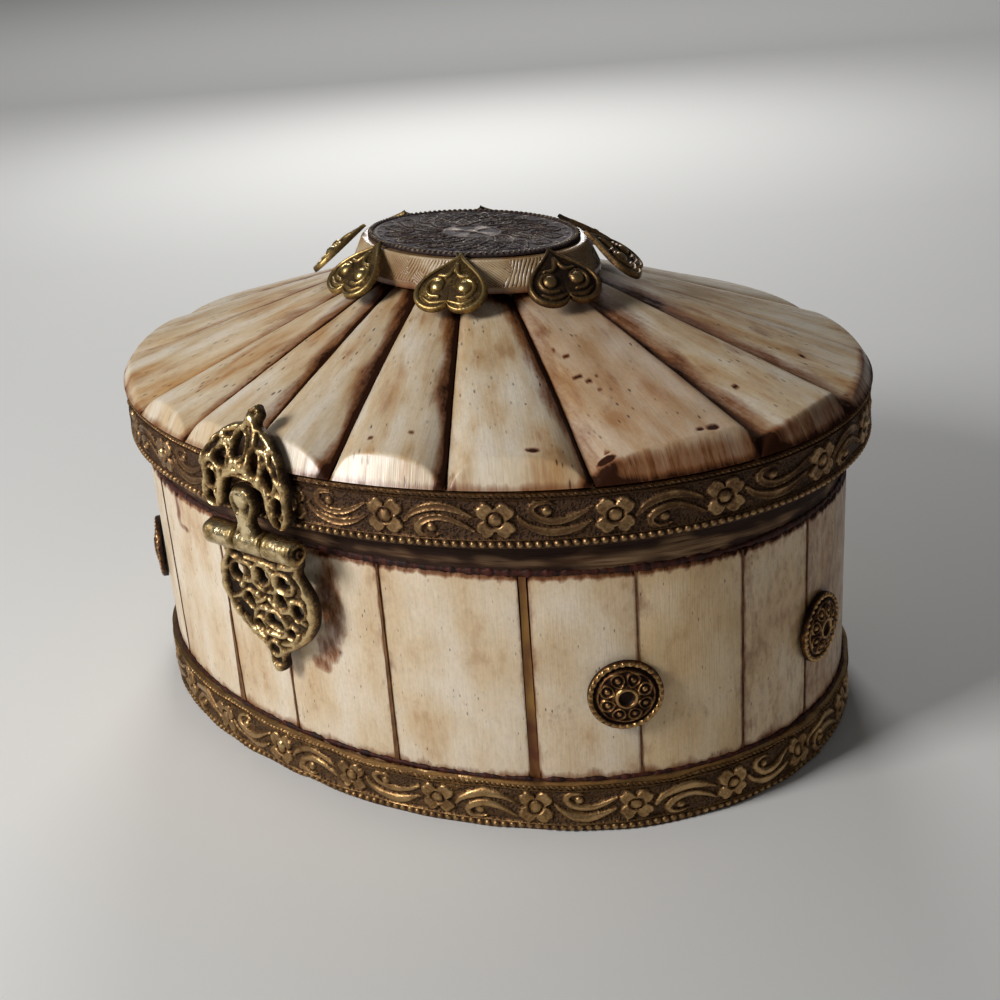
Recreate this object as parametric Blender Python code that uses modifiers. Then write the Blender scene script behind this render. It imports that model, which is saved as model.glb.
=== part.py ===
"""Oval trinket box: bone staves and a fluted bone lid on a wooden core, trimmed with brass.

Lengths are metres and +Z is up. The latch is at the front (-Y), the hinge at the back (+Y), and the
long axis lies along X. The origin is the middle of the foot. The lid turns on the hinge pin, and the
latch tongue turns on the latch pin.
"""

import math

import bmesh
import bpy
import numpy as np
from mathutils import Matrix, Vector

# Fits shared by all pieces
FIT_GAP = 0.0003
RUNNING_GAP = 0.00035
SET_BACK = 0.00015
CUT_OVERRUN = 0.002
MERGE_DISTANCE = 0.00001

# Case: a wooden wall and floor, bone staves round the wall, a brass band round the foot
CASE_LENGTH = 0.1484
CASE_WIDTH = 0.1116
CASE_POWER = 2.1
SEAM_HEIGHT = 0.0560
STAVE_THICKNESS = 0.0030
BARE_CORE_HEIGHT = 0.0063
CORE_THICKNESS = 0.0050
BOARD_THICKNESS = 0.0050
BASE_BAND_HEIGHT = 0.0100
STAVE_COUNT = 16
STAVE_STEPS = 4
STAVE_JOINT_SHARES = (-0.0942, -0.0375, -0.0047, 0.0411, 0.0992, 0.1453, 0.1969, 0.2414)

# Brass bands
BAND_THICKNESS = 0.0009
BAND_BEAD = 0.0004
BAND_STEPS = 72

# Lid: a hollow wooden shell, fluted bone petals and a brass band round the rim
LID_OVERHANG_LONG = 0.0046
LID_OVERHANG_WIDE = 0.0134
LID_POWER = 2.0
LID_SHIFT_X = 0.0012
LID_SHIFT_Y = 0.0010
LID_BAND_HEIGHT = 0.0100
LID_RISE = 0.0115
ROOF_THICKNESS = 0.0040
PETAL_COUNT = 16
PETAL_STEPS = 8
PETAL_OVERHANG = 0.0003
PETAL_RIM_HEIGHT = 0.0069
PETAL_RIM_EDGE_HEIGHT = 0.0034
PETAL_CROWN_HEIGHT = 0.0064
CROWN_GROOVE_DEPTH = 0.0009
PETAL_ARCH_POWER = 2.2
PETAL_FACET_LEAN = math.radians(24)
PETAL_RIM_SHARES = (-0.0778, -0.0375, -0.0025, 0.0347, 0.0781, 0.1297, 0.1967, 0.2547)
PETAL_CROWN_SHARES = (-0.1167, -0.0794, -0.0508, -0.0008, 0.0619, 0.1322, 0.2300, 0.3000)

# Crown: a turned bone boss, flattened to an oval, and its brass plate
CROWN_LENGTH = 0.0530
CROWN_TOP_LENGTH = 0.0480
CROWN_PLUG_LENGTH = 0.0446
CROWN_WIDTH_SHARE = 0.70
CROWN_HEIGHT = 0.0057
CROWN_EDGE_HEIGHT = 0.0008
CROWN_STEPS = 48
PLATE_INSET = 0.0015
PLATE_THICKNESS = 0.0004
PLATE_ROPE_RADIUS = 0.0004

# Hearts that hang over the crown's edge
HEART_WIDTH = 0.0138
HEART_LENGTH = 0.0130
HEART_THICKNESS = 0.0008
HEART_DOME = 0.0007
HEART_SLOPE = math.radians(38)
HEART_TIP_INSET = 0.0010
HEART_STEPS = 24
HEART_TRACE_STEPS = 600
HEART_CENTRE_SHARE = 0.55
HEART_RING_SHARE = 0.6
HEART_TURNS_DEG = (-66, -22, 22, 66, 114, 158, 202, 246)

# Medallions on the walls
MEDALLION_RADIUS = 0.00645
MEDALLION_HEIGHT = 0.0024
MEDALLION_CENTRE_HEIGHT = 0.0268
MEDALLION_STEPS = 20
MEDALLION_TURNS_DEG = (-40, 0, 40, 140, 180, 220)
MEDALLION_PROFILE_SHARES = (
    (0.0, 0.72), (0.13, 0.80), (0.24, 1.0), (0.34, 0.98), (0.42, 0.68),
    (0.66, 0.60), (0.82, 0.34), (0.92, 0.46), (1.0, 0.30), (1.0, 0.0), (0.0, 0.0),
)

# Latch: pierced plates on lid and case, and a tongue between the knuckles of the lower plate
LATCH_BARREL_RADIUS = 0.0024
LATCH_BORE_RADIUS = 0.00102
LATCH_PIN_RADIUS = 0.0009
LATCH_PIN_HEAD_RADIUS = 0.0015
LATCH_PIN_HEAD_LENGTH = 0.0010
LATCH_MIDDLE_LENGTH = 0.0063
LATCH_SIDE_LENGTH = 0.0071
LATCH_AXIS_DROP = 0.0040
LATCH_AXIS_OUTSET = 0.0003
LATCH_PLATE_THICKNESS = 0.0020
LATCH_UPPER_WIDTH = 0.0210
LATCH_UPPER_HEIGHT = 0.0184
LATCH_UPPER_LIFT = 0.0006
LATCH_UPPER_BEND_LENGTH = 0.0074
LATCH_UPPER_BEND_LEAN = math.radians(45)
LATCH_LOWER_WIDTH = 0.0230
LATCH_LOWER_HEIGHT = 0.0280
LATCH_CRANK_DROP = 0.0060
LATCH_CRANK_INSET = 0.0016
LATCH_CRANK_SEAT = 0.0008
TONGUE_WIDTH = 0.0054
TONGUE_THICKNESS = 0.0018
TONGUE_LENGTH = 0.0080
TONGUE_HEAD_RADIUS = 0.0029
TONGUE_HEAD_BOSS = 0.0005
TONGUE_CLEARANCE = 0.0004
UPPER_OUTLINE_SHARES = (
    (0.0, 1.08), (0.15, 1.01), (0.12, 0.90), (0.38, 0.81), (0.72, 0.71), (0.88, 0.60),
    (1.0, 0.46), (0.95, 0.30), (0.99, 0.14), (0.80, 0.0), (0.58, 0.03), (0.46, 0.14),
    (0.45, 0.27), (0.36, 0.38), (0.0, 0.42),
)
UPPER_HOLE_SHARES = (
    (0.0, 0.70, 0.10, 0.14), (0.40, 0.57, 0.12, 0.07), (-0.40, 0.57, 0.12, 0.07),
    (0.72, 0.36, 0.10, 0.10), (-0.72, 0.36, 0.10, 0.10), (0.76, 0.13, 0.08, 0.05),
    (-0.76, 0.13, 0.08, 0.05),
)
LOWER_OUTLINE_SHARES = (
    (0.0, 0.0), (0.45, 0.0), (0.87, 0.0), (0.86, -0.08), (0.78, -0.17), (0.99, -0.32),
    (0.98, -0.50), (0.75, -0.67), (0.44, -0.79), (0.20, -0.87), (0.17, -0.97), (0.0, -1.03),
)
LOWER_HOLE_SHARES = (
    (0.0, -0.27, 0.08, 0.06), (0.42, -0.30, 0.13, 0.05), (-0.42, -0.30, 0.13, 0.05),
    (0.66, -0.48, 0.12, 0.05), (-0.66, -0.48, 0.12, 0.05), (0.0, -0.50, 0.13, 0.053),
    (0.30, -0.66, 0.11, 0.04), (-0.30, -0.66, 0.11, 0.04), (0.0, -0.80, 0.08, 0.033),
)
OUTLINE_STEPS = 3
HOLE_STEPS = 10
BARREL_STEPS = 16

# Hinge at the back
HINGE_LENGTH = 0.0240
HINGE_MIDDLE_LENGTH = 0.0074
HINGE_BARREL_RADIUS = 0.0022
HINGE_BORE_RADIUS = 0.00112
HINGE_PIN_RADIUS = 0.0010
HINGE_PIN_END = 0.0006
HINGE_LEAF_THICKNESS = 0.0009
HINGE_UPPER_LEAF_HEIGHT = 0.0064
HINGE_LOWER_LEAF_HEIGHT = 0.0120
HINGE_LOWER_LEAF_DROP = 0.0070
HINGE_ARM_SEAT = 0.0014

# Places that follow from the sizes above
CASE_HALF = (CASE_LENGTH / 2, CASE_WIDTH / 2)
WALL_HALF = tuple(half - STAVE_THICKNESS - FIT_GAP for half in CASE_HALF)
HOLLOW_HALF = tuple(half - CORE_THICKNESS for half in WALL_HALF)
LID_LENGTH = CASE_LENGTH + LID_OVERHANG_LONG
LID_WIDTH = CASE_WIDTH + LID_OVERHANG_WIDE
LID_HALF = (LID_LENGTH / 2, LID_WIDTH / 2)
LID_CENTRE = (LID_SHIFT_X, LID_SHIFT_Y)
SHELL_HALF = tuple(half - BAND_THICKNESS - FIT_GAP for half in LID_HALF)
PETAL_HALF = tuple(half + PETAL_OVERHANG for half in LID_HALF)
SEAT_HALF = (
    CROWN_PLUG_LENGTH / 2 + FIT_GAP,
    CROWN_PLUG_LENGTH / 2 * CROWN_WIDTH_SHARE + FIT_GAP,
)
RIM_HEIGHT = SEAM_HEIGHT + LID_BAND_HEIGHT + FIT_GAP
SEAT_HEIGHT = RIM_HEIGHT + LID_RISE
CROWN_FOOT_HEIGHT = SEAT_HEIGHT + PETAL_CROWN_HEIGHT + FIT_GAP
CROWN_TOP_HEIGHT = CROWN_FOOT_HEIGHT + CROWN_HEIGHT
BAND_FRONT = LID_SHIFT_Y - LID_HALF[1] - BAND_BEAD
BAND_BACK = LID_SHIFT_Y + LID_HALF[1] + BAND_BEAD
LATCH_AXIS = Vector((0, BAND_FRONT - LATCH_AXIS_OUTSET, SEAM_HEIGHT - LATCH_AXIS_DROP))
HINGE_AXIS = Vector((0, BAND_BACK + FIT_GAP + HINGE_BARREL_RADIUS, SEAM_HEIGHT))
LATCH_BARREL_HALF = LATCH_MIDDLE_LENGTH / 2 + FIT_GAP + LATCH_SIDE_LENGTH

# Turns that stand an outline up: seen from the front, and seen from the side with +Y to the right
FRONT_VIEW = Matrix.Rotation(math.radians(90), 4, "X")
SIDE_VIEW = Matrix(((0, 0, 1, 0), (1, 0, 0, 0), (0, 1, 0, 0), (0, 0, 0, 1)))
ALONG_X = Matrix.Rotation(math.radians(90), 4, "Y")

BONE = ((0.80, 0.68, 0.48), 0.38, 0.0)
WOOD = ((0.20, 0.10, 0.05), 0.75, 0.0)
BRASS = ((0.46, 0.33, 0.14), 0.42, 1.0)
OLD_BRASS = ((0.24, 0.16, 0.07), 0.50, 1.0)


# Scene helpers


def clear_scene():
    """Remove every object of the open scene."""
    for old in list(bpy.data.objects):
        bpy.data.objects.remove(old, do_unlink=True)


def new_collection(name):
    """A collection linked to the scene."""
    collection = bpy.data.collections.new(name)
    bpy.context.scene.collection.children.link(collection)
    return collection


def dress(obj, finish):
    """Give the object a Principled BSDF material of this colour, roughness and metallic value."""
    colour, roughness, metallic = finish
    material = bpy.data.materials.new(obj.name)
    material.use_nodes = True
    shader = material.node_tree.nodes["Principled BSDF"]
    shader.inputs["Base Color"].default_value = (*colour, 1)
    shader.inputs["Roughness"].default_value = roughness
    shader.inputs["Metallic"].default_value = metallic
    obj.data.materials.clear()
    obj.data.materials.append(material)


class Box:
    """The collections of the box and the axes that its moving pieces hang on."""

    def __init__(self):
        self.parts = new_collection("trinket_box")
        self.cutters = new_collection("cutters")
        self.lid_axis = self.axis("lid_axis", HINGE_AXIS)
        self.latch_axis = self.axis("latch_axis", LATCH_AXIS)

    def axis(self, name, place):
        """An empty on a joint's axis."""
        empty = bpy.data.objects.new(name, None)
        empty.location = place
        empty.empty_display_size = LATCH_SIDE_LENGTH
        self.parts.objects.link(empty)
        bpy.context.view_layer.update()
        return empty

    def add(self, name, data, finish, axis=None):
        """A visible piece, hung on an axis without moving it."""
        obj = bpy.data.objects.new(name, data)
        self.parts.objects.link(obj)
        dress(obj, finish)
        if axis is not None:
            obj.parent = axis
            obj.matrix_parent_inverse = axis.matrix_world.inverted()
        return obj

    def cutter(self, name, data):
        """A helper solid or guide that isn't part of the box."""
        obj = bpy.data.objects.new(name, data)
        obj.hide_render = True
        obj.display_type = "WIRE"
        self.cutters.objects.link(obj)
        return obj

    def boolean(self, obj, operation, name, data):
        """Join, cut or intersect the object with a helper solid."""
        modifier = obj.modifiers.new(name, "BOOLEAN")
        modifier.operation = operation
        modifier.solver = "EXACT"
        modifier.object = self.cutter(obj.name + "_" + name, data)


# Shapes


def turn(share):
    """The oval's parameter angle at a share of a full turn, counted from the front towards +X."""
    return 2 * np.pi * (np.asarray(share) - 0.25)


def oval(half, power, angles, centre=(0, 0)):
    """Points of a superellipse at parameter angles counted from +X."""
    cosine, sine = np.cos(angles), np.sin(angles)
    x = half[0] * np.sign(cosine) * np.abs(cosine) ** (2 / power)
    y = half[1] * np.sign(sine) * np.abs(sine) ** (2 / power)
    return np.stack([x + centre[0], y + centre[1]], axis=-1)


def oval_speed(half, angle):
    """How far a point of the oval moves for each radian of its parameter angle."""
    return math.hypot(half[0] * math.sin(angle), half[1] * math.cos(angle))


def oval_normal(half, angle):
    """Outward direction of the oval at a parameter angle."""
    return Vector((half[1] * math.cos(angle), half[0] * math.sin(angle), 0)).normalized()


def full_turn(count):
    """Angles of a whole turn in even steps, without the last one."""
    return np.arange(count) * 2 * np.pi / count


def joint_turns(shown_shares, count):
    """Joint angles round an oval: the shown ones as given, and even steps for the rest."""
    hidden = count - len(shown_shares) + 1
    rest = np.linspace(shown_shares[-1], shown_shares[0] + 1, hidden + 1)
    return turn(np.concatenate([shown_shares, rest[1:]]))


def flat_curve(name, outlines, thickness, rounded=False):
    """A 2D curve of closed outlines, filled on both sides, as thick as asked about its plane."""
    data = bpy.data.curves.new(name, "CURVE")
    data.dimensions = "2D"
    data.fill_mode = "BOTH"
    data.extrude = thickness / 2
    data.resolution_u = OUTLINE_STEPS
    for outline in outlines:
        add_spline(data, outline, rounded)
    return data


def add_spline(data, outline, rounded):
    """Add a closed outline to a curve, smooth through its points or straight between them."""
    spline = data.splines.new("BEZIER" if rounded else "POLY")
    points = spline.bezier_points if rounded else spline.points
    points.add(len(outline) - 1)
    for point, (x, y) in zip(points, outline):
        if rounded:
            point.co = (x, y, 0)
            point.handle_left_type = point.handle_right_type = "AUTO"
        else:
            point.co = (x, y, 0, 1)
    spline.use_cyclic_u = True


def curve_mesh(data, placing):
    """A closed mesh of a curve, with its caps welded on and moved into place. The curve is removed."""
    holder = bpy.data.objects.new(data.name, data)
    bpy.context.scene.collection.objects.link(holder)
    bpy.context.view_layer.update()
    graph = bpy.context.evaluated_depsgraph_get()
    mesh = bpy.data.meshes.new_from_object(holder.evaluated_get(graph))
    bpy.data.objects.remove(holder, do_unlink=True)
    bpy.data.curves.remove(data)
    shape = bmesh.new()
    shape.from_mesh(mesh)
    bmesh.ops.remove_doubles(shape, verts=shape.verts, dist=MERGE_DISTANCE)
    bmesh.ops.recalc_face_normals(shape, faces=shape.faces)
    shape.to_mesh(mesh)
    shape.free()
    mesh.transform(placing)
    return mesh


def loft_mesh(name, sections, around=False):
    """Skin between closed sections of equal length: a capped bar, or a ring where it goes around."""
    shape = bmesh.new()
    rows = [[shape.verts.new(point) for point in section] for section in sections]
    followers = rows[1:] + rows[:1] if around else rows[1:]
    for row, following in zip(rows, followers):
        for index in range(len(row)):
            after = (index + 1) % len(row)
            shape.faces.new((row[index], row[after], following[after], following[index]))
    if not around:
        shape.faces.new(rows[0])
        shape.faces.new(rows[-1])
    bmesh.ops.recalc_face_normals(shape, faces=shape.faces)
    mesh = bpy.data.meshes.new(name)
    shape.to_mesh(mesh)
    shape.free()
    return mesh


def cylinder_mesh(name, radius, start, end, axis_place):
    """A cylinder along X between two places, about an axis through the given point."""
    shape = bmesh.new()
    bmesh.ops.create_cone(
        shape, cap_ends=True, segments=BARREL_STEPS, radius1=radius, radius2=radius, depth=end - start
    )
    mesh = bpy.data.meshes.new(name)
    shape.to_mesh(mesh)
    shape.free()
    middle = Vector(((start + end) / 2, 0, 0))
    mesh.transform(Matrix.Translation(axis_place + middle) @ ALONG_X)
    return mesh


def turned_piece(box, name, profile, steps, finish, axis=None):
    """A piece turned about Z from a profile that runs down its outer side."""
    mesh = bpy.data.meshes.new(name)
    points = [(radius, 0, height) for radius, height in profile]
    mesh.from_pydata(points, [(i, i + 1) for i in range(len(points) - 1)], [])
    obj = box.add(name, mesh, finish, axis)
    screw = obj.modifiers.new("turning", "SCREW")
    screw.steps = screw.render_steps = steps
    screw.use_merge_vertices = True
    screw.merge_threshold = MERGE_DISTANCE
    screw.use_smooth_shade = True
    return obj


def strip_outline(back, thickness):
    """Side outline of a bent strip: its back points, and its front set off to their left."""
    back = np.array(back)
    steps = np.diff(back, axis=0)
    normals = np.stack([-steps[:, 1], steps[:, 0]], axis=1)
    normals /= np.linalg.norm(normals, axis=1, keepdims=True)
    before = np.vstack([normals[:1], normals])
    after = np.vstack([normals, normals[-1:]])
    mitre = before + after
    mitre *= 2 / (mitre**2).sum(axis=1, keepdims=True)
    front = back + thickness * mitre
    return np.vstack([back, front[::-1]])


def mirrored(half_outline):
    """A closed outline from the half at +x, which starts and ends on the middle line."""
    other = [(-x, y) for x, y in half_outline[-2:0:-1]]
    return list(half_outline) + other


def ellipse_outline(x, y, half_width, half_height):
    """A small round or oval hole."""
    angles = full_turn(HOLE_STEPS)
    return np.stack([x + half_width * np.cos(angles), y + half_height * np.sin(angles)], axis=1)


# Case


def make_board_and_wall(box):
    """The wooden floor and the bent wooden wall that stands round it."""
    angles = full_turn(BAND_STEPS)
    board_half = tuple(half - FIT_GAP for half in HOLLOW_HALF)
    board = flat_curve("base_board", [oval(board_half, CASE_POWER, angles)], BOARD_THICKNESS)
    box.add("base_board", board, WOOD).location.z = BOARD_THICKNESS / 2
    wall_height = SEAM_HEIGHT - FIT_GAP
    rings = [oval(half, CASE_POWER, angles) for half in (WALL_HALF, HOLLOW_HALF)]
    box.add("core_wall", flat_curve("core_wall", rings, wall_height), WOOD).location.z = wall_height / 2


def make_staves(box):
    """Bone staves round the wall, with a narrow joint between each two."""
    height = SEAM_HEIGHT - FIT_GAP - BARE_CORE_HEIGHT
    inner_half = tuple(half - STAVE_THICKNESS for half in CASE_HALF)
    turns = joint_turns(STAVE_JOINT_SHARES, STAVE_COUNT)
    for number, (start, end) in enumerate(zip(turns[:-1], turns[1:]), 1):
        sides = []
        for half in (CASE_HALF, inner_half):
            first = start + FIT_GAP / 2 / oval_speed(half, start)
            last = end - FIT_GAP / 2 / oval_speed(half, end)
            sides.append(oval(half, CASE_POWER, np.linspace(first, last, STAVE_STEPS + 1)))
        outline = np.vstack([sides[0], sides[1][::-1]])
        name = f"stave_{number:02d}"
        box.add(name, flat_curve(name, [outline], height), BONE).location.z = height / 2


def make_band(box, name, inner_half, power, centre, foot, height, finish, axis=None):
    """A brass band: a strip with a beaded line along each edge, swept round an oval."""
    reach = BAND_THICKNESS / 2
    bead = BAND_BEAD
    profile = [
        (-reach, 0),
        (reach, 0),
        (reach + bead, bead / 2),
        (reach + bead, bead * 3 / 2),
        (reach, bead * 2),
        (reach, height - bead * 2),
        (reach + bead, height - bead * 3 / 2),
        (reach + bead, height - bead / 2),
        (reach, height),
        (-reach, height),
    ]
    middle = tuple(half + reach for half in inner_half)
    sections = []
    for angle, point in zip(full_turn(BAND_STEPS), oval(middle, power, full_turn(BAND_STEPS), centre)):
        outward = oval_normal(middle, angle)
        place = Vector((*point, foot))
        sections.append([place + outward * out + Vector((0, 0, up)) for out, up in profile])
    box.add(name, loft_mesh(name, sections, around=True), finish, axis)


def make_medallions(box):
    """Domed brass bosses on the walls, each square to the wall where it sits."""
    profile = [(r * MEDALLION_RADIUS, h * MEDALLION_HEIGHT) for r, h in MEDALLION_PROFILE_SHARES]
    for number, degrees in enumerate(MEDALLION_TURNS_DEG, 1):
        angle = math.radians(degrees)
        outward = oval_normal(CASE_HALF, angle)
        place = Vector((*oval(CASE_HALF, CASE_POWER, angle), MEDALLION_CENTRE_HEIGHT))
        medallion = turned_piece(box, f"medallion_{number}", profile, MEDALLION_STEPS, BRASS)
        medallion.location = place + outward * FIT_GAP
        medallion.rotation_mode = "QUATERNION"
        medallion.rotation_quaternion = outward.to_track_quat("Z", "Y")


# Lid


def petal_turns():
    """Angles of the joints between the petals, at the rim and at the crown."""
    return joint_turns(PETAL_RIM_SHARES, PETAL_COUNT), joint_turns(PETAL_CROWN_SHARES, PETAL_COUNT)


def petal_arch(across):
    """How full the petal is at a share of its width: nothing at its edges, one in the middle."""
    return 1 - abs(2 * across - 1) ** PETAL_ARCH_POWER


def make_petals(box):
    """Fluted bone segments: straight from the rim to the crown, arched across, with a sloped end."""
    rims, crowns = petal_turns()
    for number in range(PETAL_COUNT):
        ends = []
        for half, turns in ((PETAL_HALF, rims), (SEAT_HALF, crowns)):
            start, end = turns[number], turns[number + 1]
            first = start + FIT_GAP / 2 / oval_speed(half, start)
            last = end - FIT_GAP / 2 / oval_speed(half, end)
            angles = np.linspace(first, last, PETAL_STEPS + 1)
            ends.append(oval(half, LID_POWER, angles, LID_CENTRE))
        sections = []
        for across, outer, inner in zip(np.linspace(0, 1, PETAL_STEPS + 1), *ends):
            foot = Vector((*outer, RIM_HEIGHT))
            seat = Vector((*inner, SEAT_HEIGHT))
            run = seat - foot
            arch = petal_arch(across)
            rim_height = PETAL_RIM_EDGE_HEIGHT + (PETAL_RIM_HEIGHT - PETAL_RIM_EDGE_HEIGHT) * arch
            crown_height = PETAL_CROWN_HEIGHT - CROWN_GROOVE_DEPTH * (1 - arch)
            sloped = rim_height * math.tan(PETAL_FACET_LEAN) / run.to_2d().length
            shoulder = foot + run * sloped + Vector((0, 0, rim_height))
            top = seat + Vector((0, 0, crown_height))
            sections.append([foot, shoulder, top, seat])
        name = f"petal_{number + 1:02d}"
        box.add(name, loft_mesh(name, sections), BONE, box.lid_axis)


def make_lid_shell(box):
    """The wooden lid under the bone: an upright rim, a low cone and a flat seat for the crown."""
    rims, crowns = petal_turns()
    joints = np.arange(PETAL_COUNT + 1)
    places = np.linspace(0, PETAL_COUNT, PETAL_COUNT * PETAL_STEPS // 2, endpoint=False)
    wall = oval(SHELL_HALF, LID_POWER, np.interp(places, joints, rims), LID_CENTRE)
    seat = oval(SEAT_HALF, LID_POWER, np.interp(places, joints, crowns), LID_CENTRE)
    inset_share = (PETAL_HALF[0] - SHELL_HALF[0]) / (PETAL_HALF[0] - SEAT_HALF[0])
    shoulder_height = RIM_HEIGHT + LID_RISE * inset_share - FIT_GAP
    seat_height = SEAT_HEIGHT - FIT_GAP
    rings = ((wall, SEAM_HEIGHT), (wall, shoulder_height), (seat, seat_height))
    sections = [[(x, y, height) for x, y in ring] for ring, height in rings]
    shell = box.add("lid_shell", loft_mesh("lid_shell", sections), WOOD, box.lid_axis)
    hollow = oval(HOLLOW_HALF, CASE_POWER, full_turn(BAND_STEPS))
    ceiling = oval(SEAT_HALF, LID_POWER, full_turn(BAND_STEPS), LID_CENTRE)
    cover_share = (SHELL_HALF[0] - HOLLOW_HALF[0]) / (SHELL_HALF[0] - SEAT_HALF[0])
    spring_height = shoulder_height + (seat_height - shoulder_height) * cover_share - ROOF_THICKNESS
    inside = (
        (hollow, SEAM_HEIGHT - CUT_OVERRUN),
        (hollow, spring_height),
        (ceiling, seat_height - ROOF_THICKNESS),
    )
    sections = [[(x, y, height) for x, y in ring] for ring, height in inside]
    box.boolean(shell, "DIFFERENCE", "hollow", loft_mesh("lid_hollow", sections))


def make_crown(box):
    """The bone crown, whose plug reaches down between the petals, and the brass plate on it."""
    foot, top, plug = CROWN_LENGTH / 2, CROWN_TOP_LENGTH / 2, CROWN_PLUG_LENGTH / 2
    profile = [
        (0, CROWN_TOP_HEIGHT), (top, CROWN_TOP_HEIGHT), (foot, CROWN_FOOT_HEIGHT + CROWN_EDGE_HEIGHT),
        (foot, CROWN_FOOT_HEIGHT), (plug, CROWN_FOOT_HEIGHT), (plug, SEAT_HEIGHT), (0, SEAT_HEIGHT),
    ]
    boss = turned_piece(box, "crown_boss", profile, CROWN_STEPS, BONE, box.lid_axis)
    boss.location = (*LID_CENTRE, 0)
    boss.scale.y = CROWN_WIDTH_SHARE
    edge = top - PLATE_INSET
    rope = PLATE_ROPE_RADIUS
    back = CROWN_TOP_HEIGHT + FIT_GAP
    face = back + PLATE_THICKNESS
    profile = [
        (0, face), (edge - rope * 3, face), (edge - rope * 2, face), (edge - rope * 3 / 2, face + rope),
        (edge - rope / 2, face + rope), (edge, face), (edge, back), (0, back),
    ]
    plate = turned_piece(box, "crown_plate", profile, CROWN_STEPS, OLD_BRASS, box.lid_axis)
    plate.location = (*LID_CENTRE, 0)
    plate.scale.y = CROWN_WIDTH_SHARE


def heart_outline(angles):
    """Points round a heart from its point and back: x swings as a cubed sine, y as a sum of cosines."""
    x = np.sin(angles) ** 3 * HEART_WIDTH / 2
    wave = 13 * np.cos(angles) - 5 * np.cos(2 * angles) - 2 * np.cos(3 * angles) - np.cos(4 * angles)
    y = (wave.min() - wave) / (wave.max() - wave.min()) * HEART_LENGTH
    return x, y


def even_outline(points):
    """The same closed outline, with its points evenly spaced from its first one."""
    steps = np.hypot(*np.diff(points, axis=1))
    travelled = np.concatenate([[0], np.cumsum(steps)])
    places = full_turn(HEART_STEPS) / (2 * np.pi) * travelled[-1]
    return [np.interp(places, travelled, line) for line in points]


def heart_mesh():
    """An open domed heart with its point at the origin and its two lobes towards -y."""
    x, y = even_outline(heart_outline(np.linspace(-math.pi, math.pi, HEART_TRACE_STEPS + 1)))
    centre = Vector((0, -HEART_LENGTH * HEART_CENTRE_SHARE, 0))
    shape = bmesh.new()
    rings = []
    for share in (1, HEART_RING_SHARE):
        lift = HEART_DOME * (1 - share**2)
        outline = [centre + (Vector((px, py, 0)) - centre) * share for px, py in zip(x, y)]
        rings.append([shape.verts.new(point + Vector((0, 0, lift))) for point in outline])
    middle = shape.verts.new(centre + Vector((0, 0, HEART_DOME)))
    outer, inner = rings
    for index in range(HEART_STEPS):
        after = (index + 1) % HEART_STEPS
        shape.faces.new((outer[index], outer[after], inner[after], inner[index]))
        shape.faces.new((inner[index], inner[after], middle))
    mesh = bpy.data.meshes.new("heart")
    shape.to_mesh(mesh)
    shape.free()
    mesh.shade_smooth()
    return mesh


def make_hearts(box):
    """Brass hearts that lean on the crown's upper edge, point up and lobes out over the petals."""
    edge_half = (CROWN_TOP_LENGTH / 2, CROWN_TOP_LENGTH / 2 * CROWN_WIDTH_SHARE)
    mesh = heart_mesh()
    up = Vector((0, 0, 1))
    for number, degrees in enumerate(HEART_TURNS_DEG, 1):
        angle = math.radians(degrees)
        outward = oval_normal(edge_half, angle)
        uphill = up * math.sin(HEART_SLOPE) - outward * math.cos(HEART_SLOPE)
        face = up * math.cos(HEART_SLOPE) + outward * math.sin(HEART_SLOPE)
        edge = Vector((*oval(edge_half, LID_POWER, angle, LID_CENTRE), CROWN_TOP_HEIGHT))
        point = edge + face * FIT_GAP + uphill * HEART_TIP_INSET / math.cos(HEART_SLOPE)
        heart = box.add(f"heart_{number}", mesh, BRASS, box.lid_axis)
        turning = Matrix((uphill.cross(face), uphill, face)).transposed().to_4x4()
        heart.matrix_basis = Matrix.Translation(point) @ turning
        thickness = heart.modifiers.new("thickness", "SOLIDIFY")
        thickness.thickness = HEART_THICKNESS
        thickness.offset = 1


# Latch


def share_outline(shares, half_width, height, foot):
    """Half outline of a plate from shares of its half width and height."""
    return mirrored([(x * half_width, foot + z * height) for x, z in shares])


def share_holes(shares, half_width, height, foot):
    """Holes of a plate from shares of its half width and height."""
    return [
        ellipse_outline(x * half_width, foot + z * height, wide * half_width, high * height)
        for x, z, wide, high in shares
    ]


def pierced_mesh(name, outline, holes):
    """A cutter in the shape of a pierced plate, seen from the front, deep enough for any bent strip."""
    data = flat_curve(name, [outline], CASE_WIDTH + LID_WIDTH, rounded=True)
    for hole in holes:
        add_spline(data, hole, False)
    return curve_mesh(data, FRONT_VIEW)


def bent_strip_mesh(name, back, thickness, width):
    """A strip bent in the side view and running along X."""
    data = flat_curve(name, [strip_outline(back, thickness)], width)
    return curve_mesh(data, SIDE_VIEW)


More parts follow.
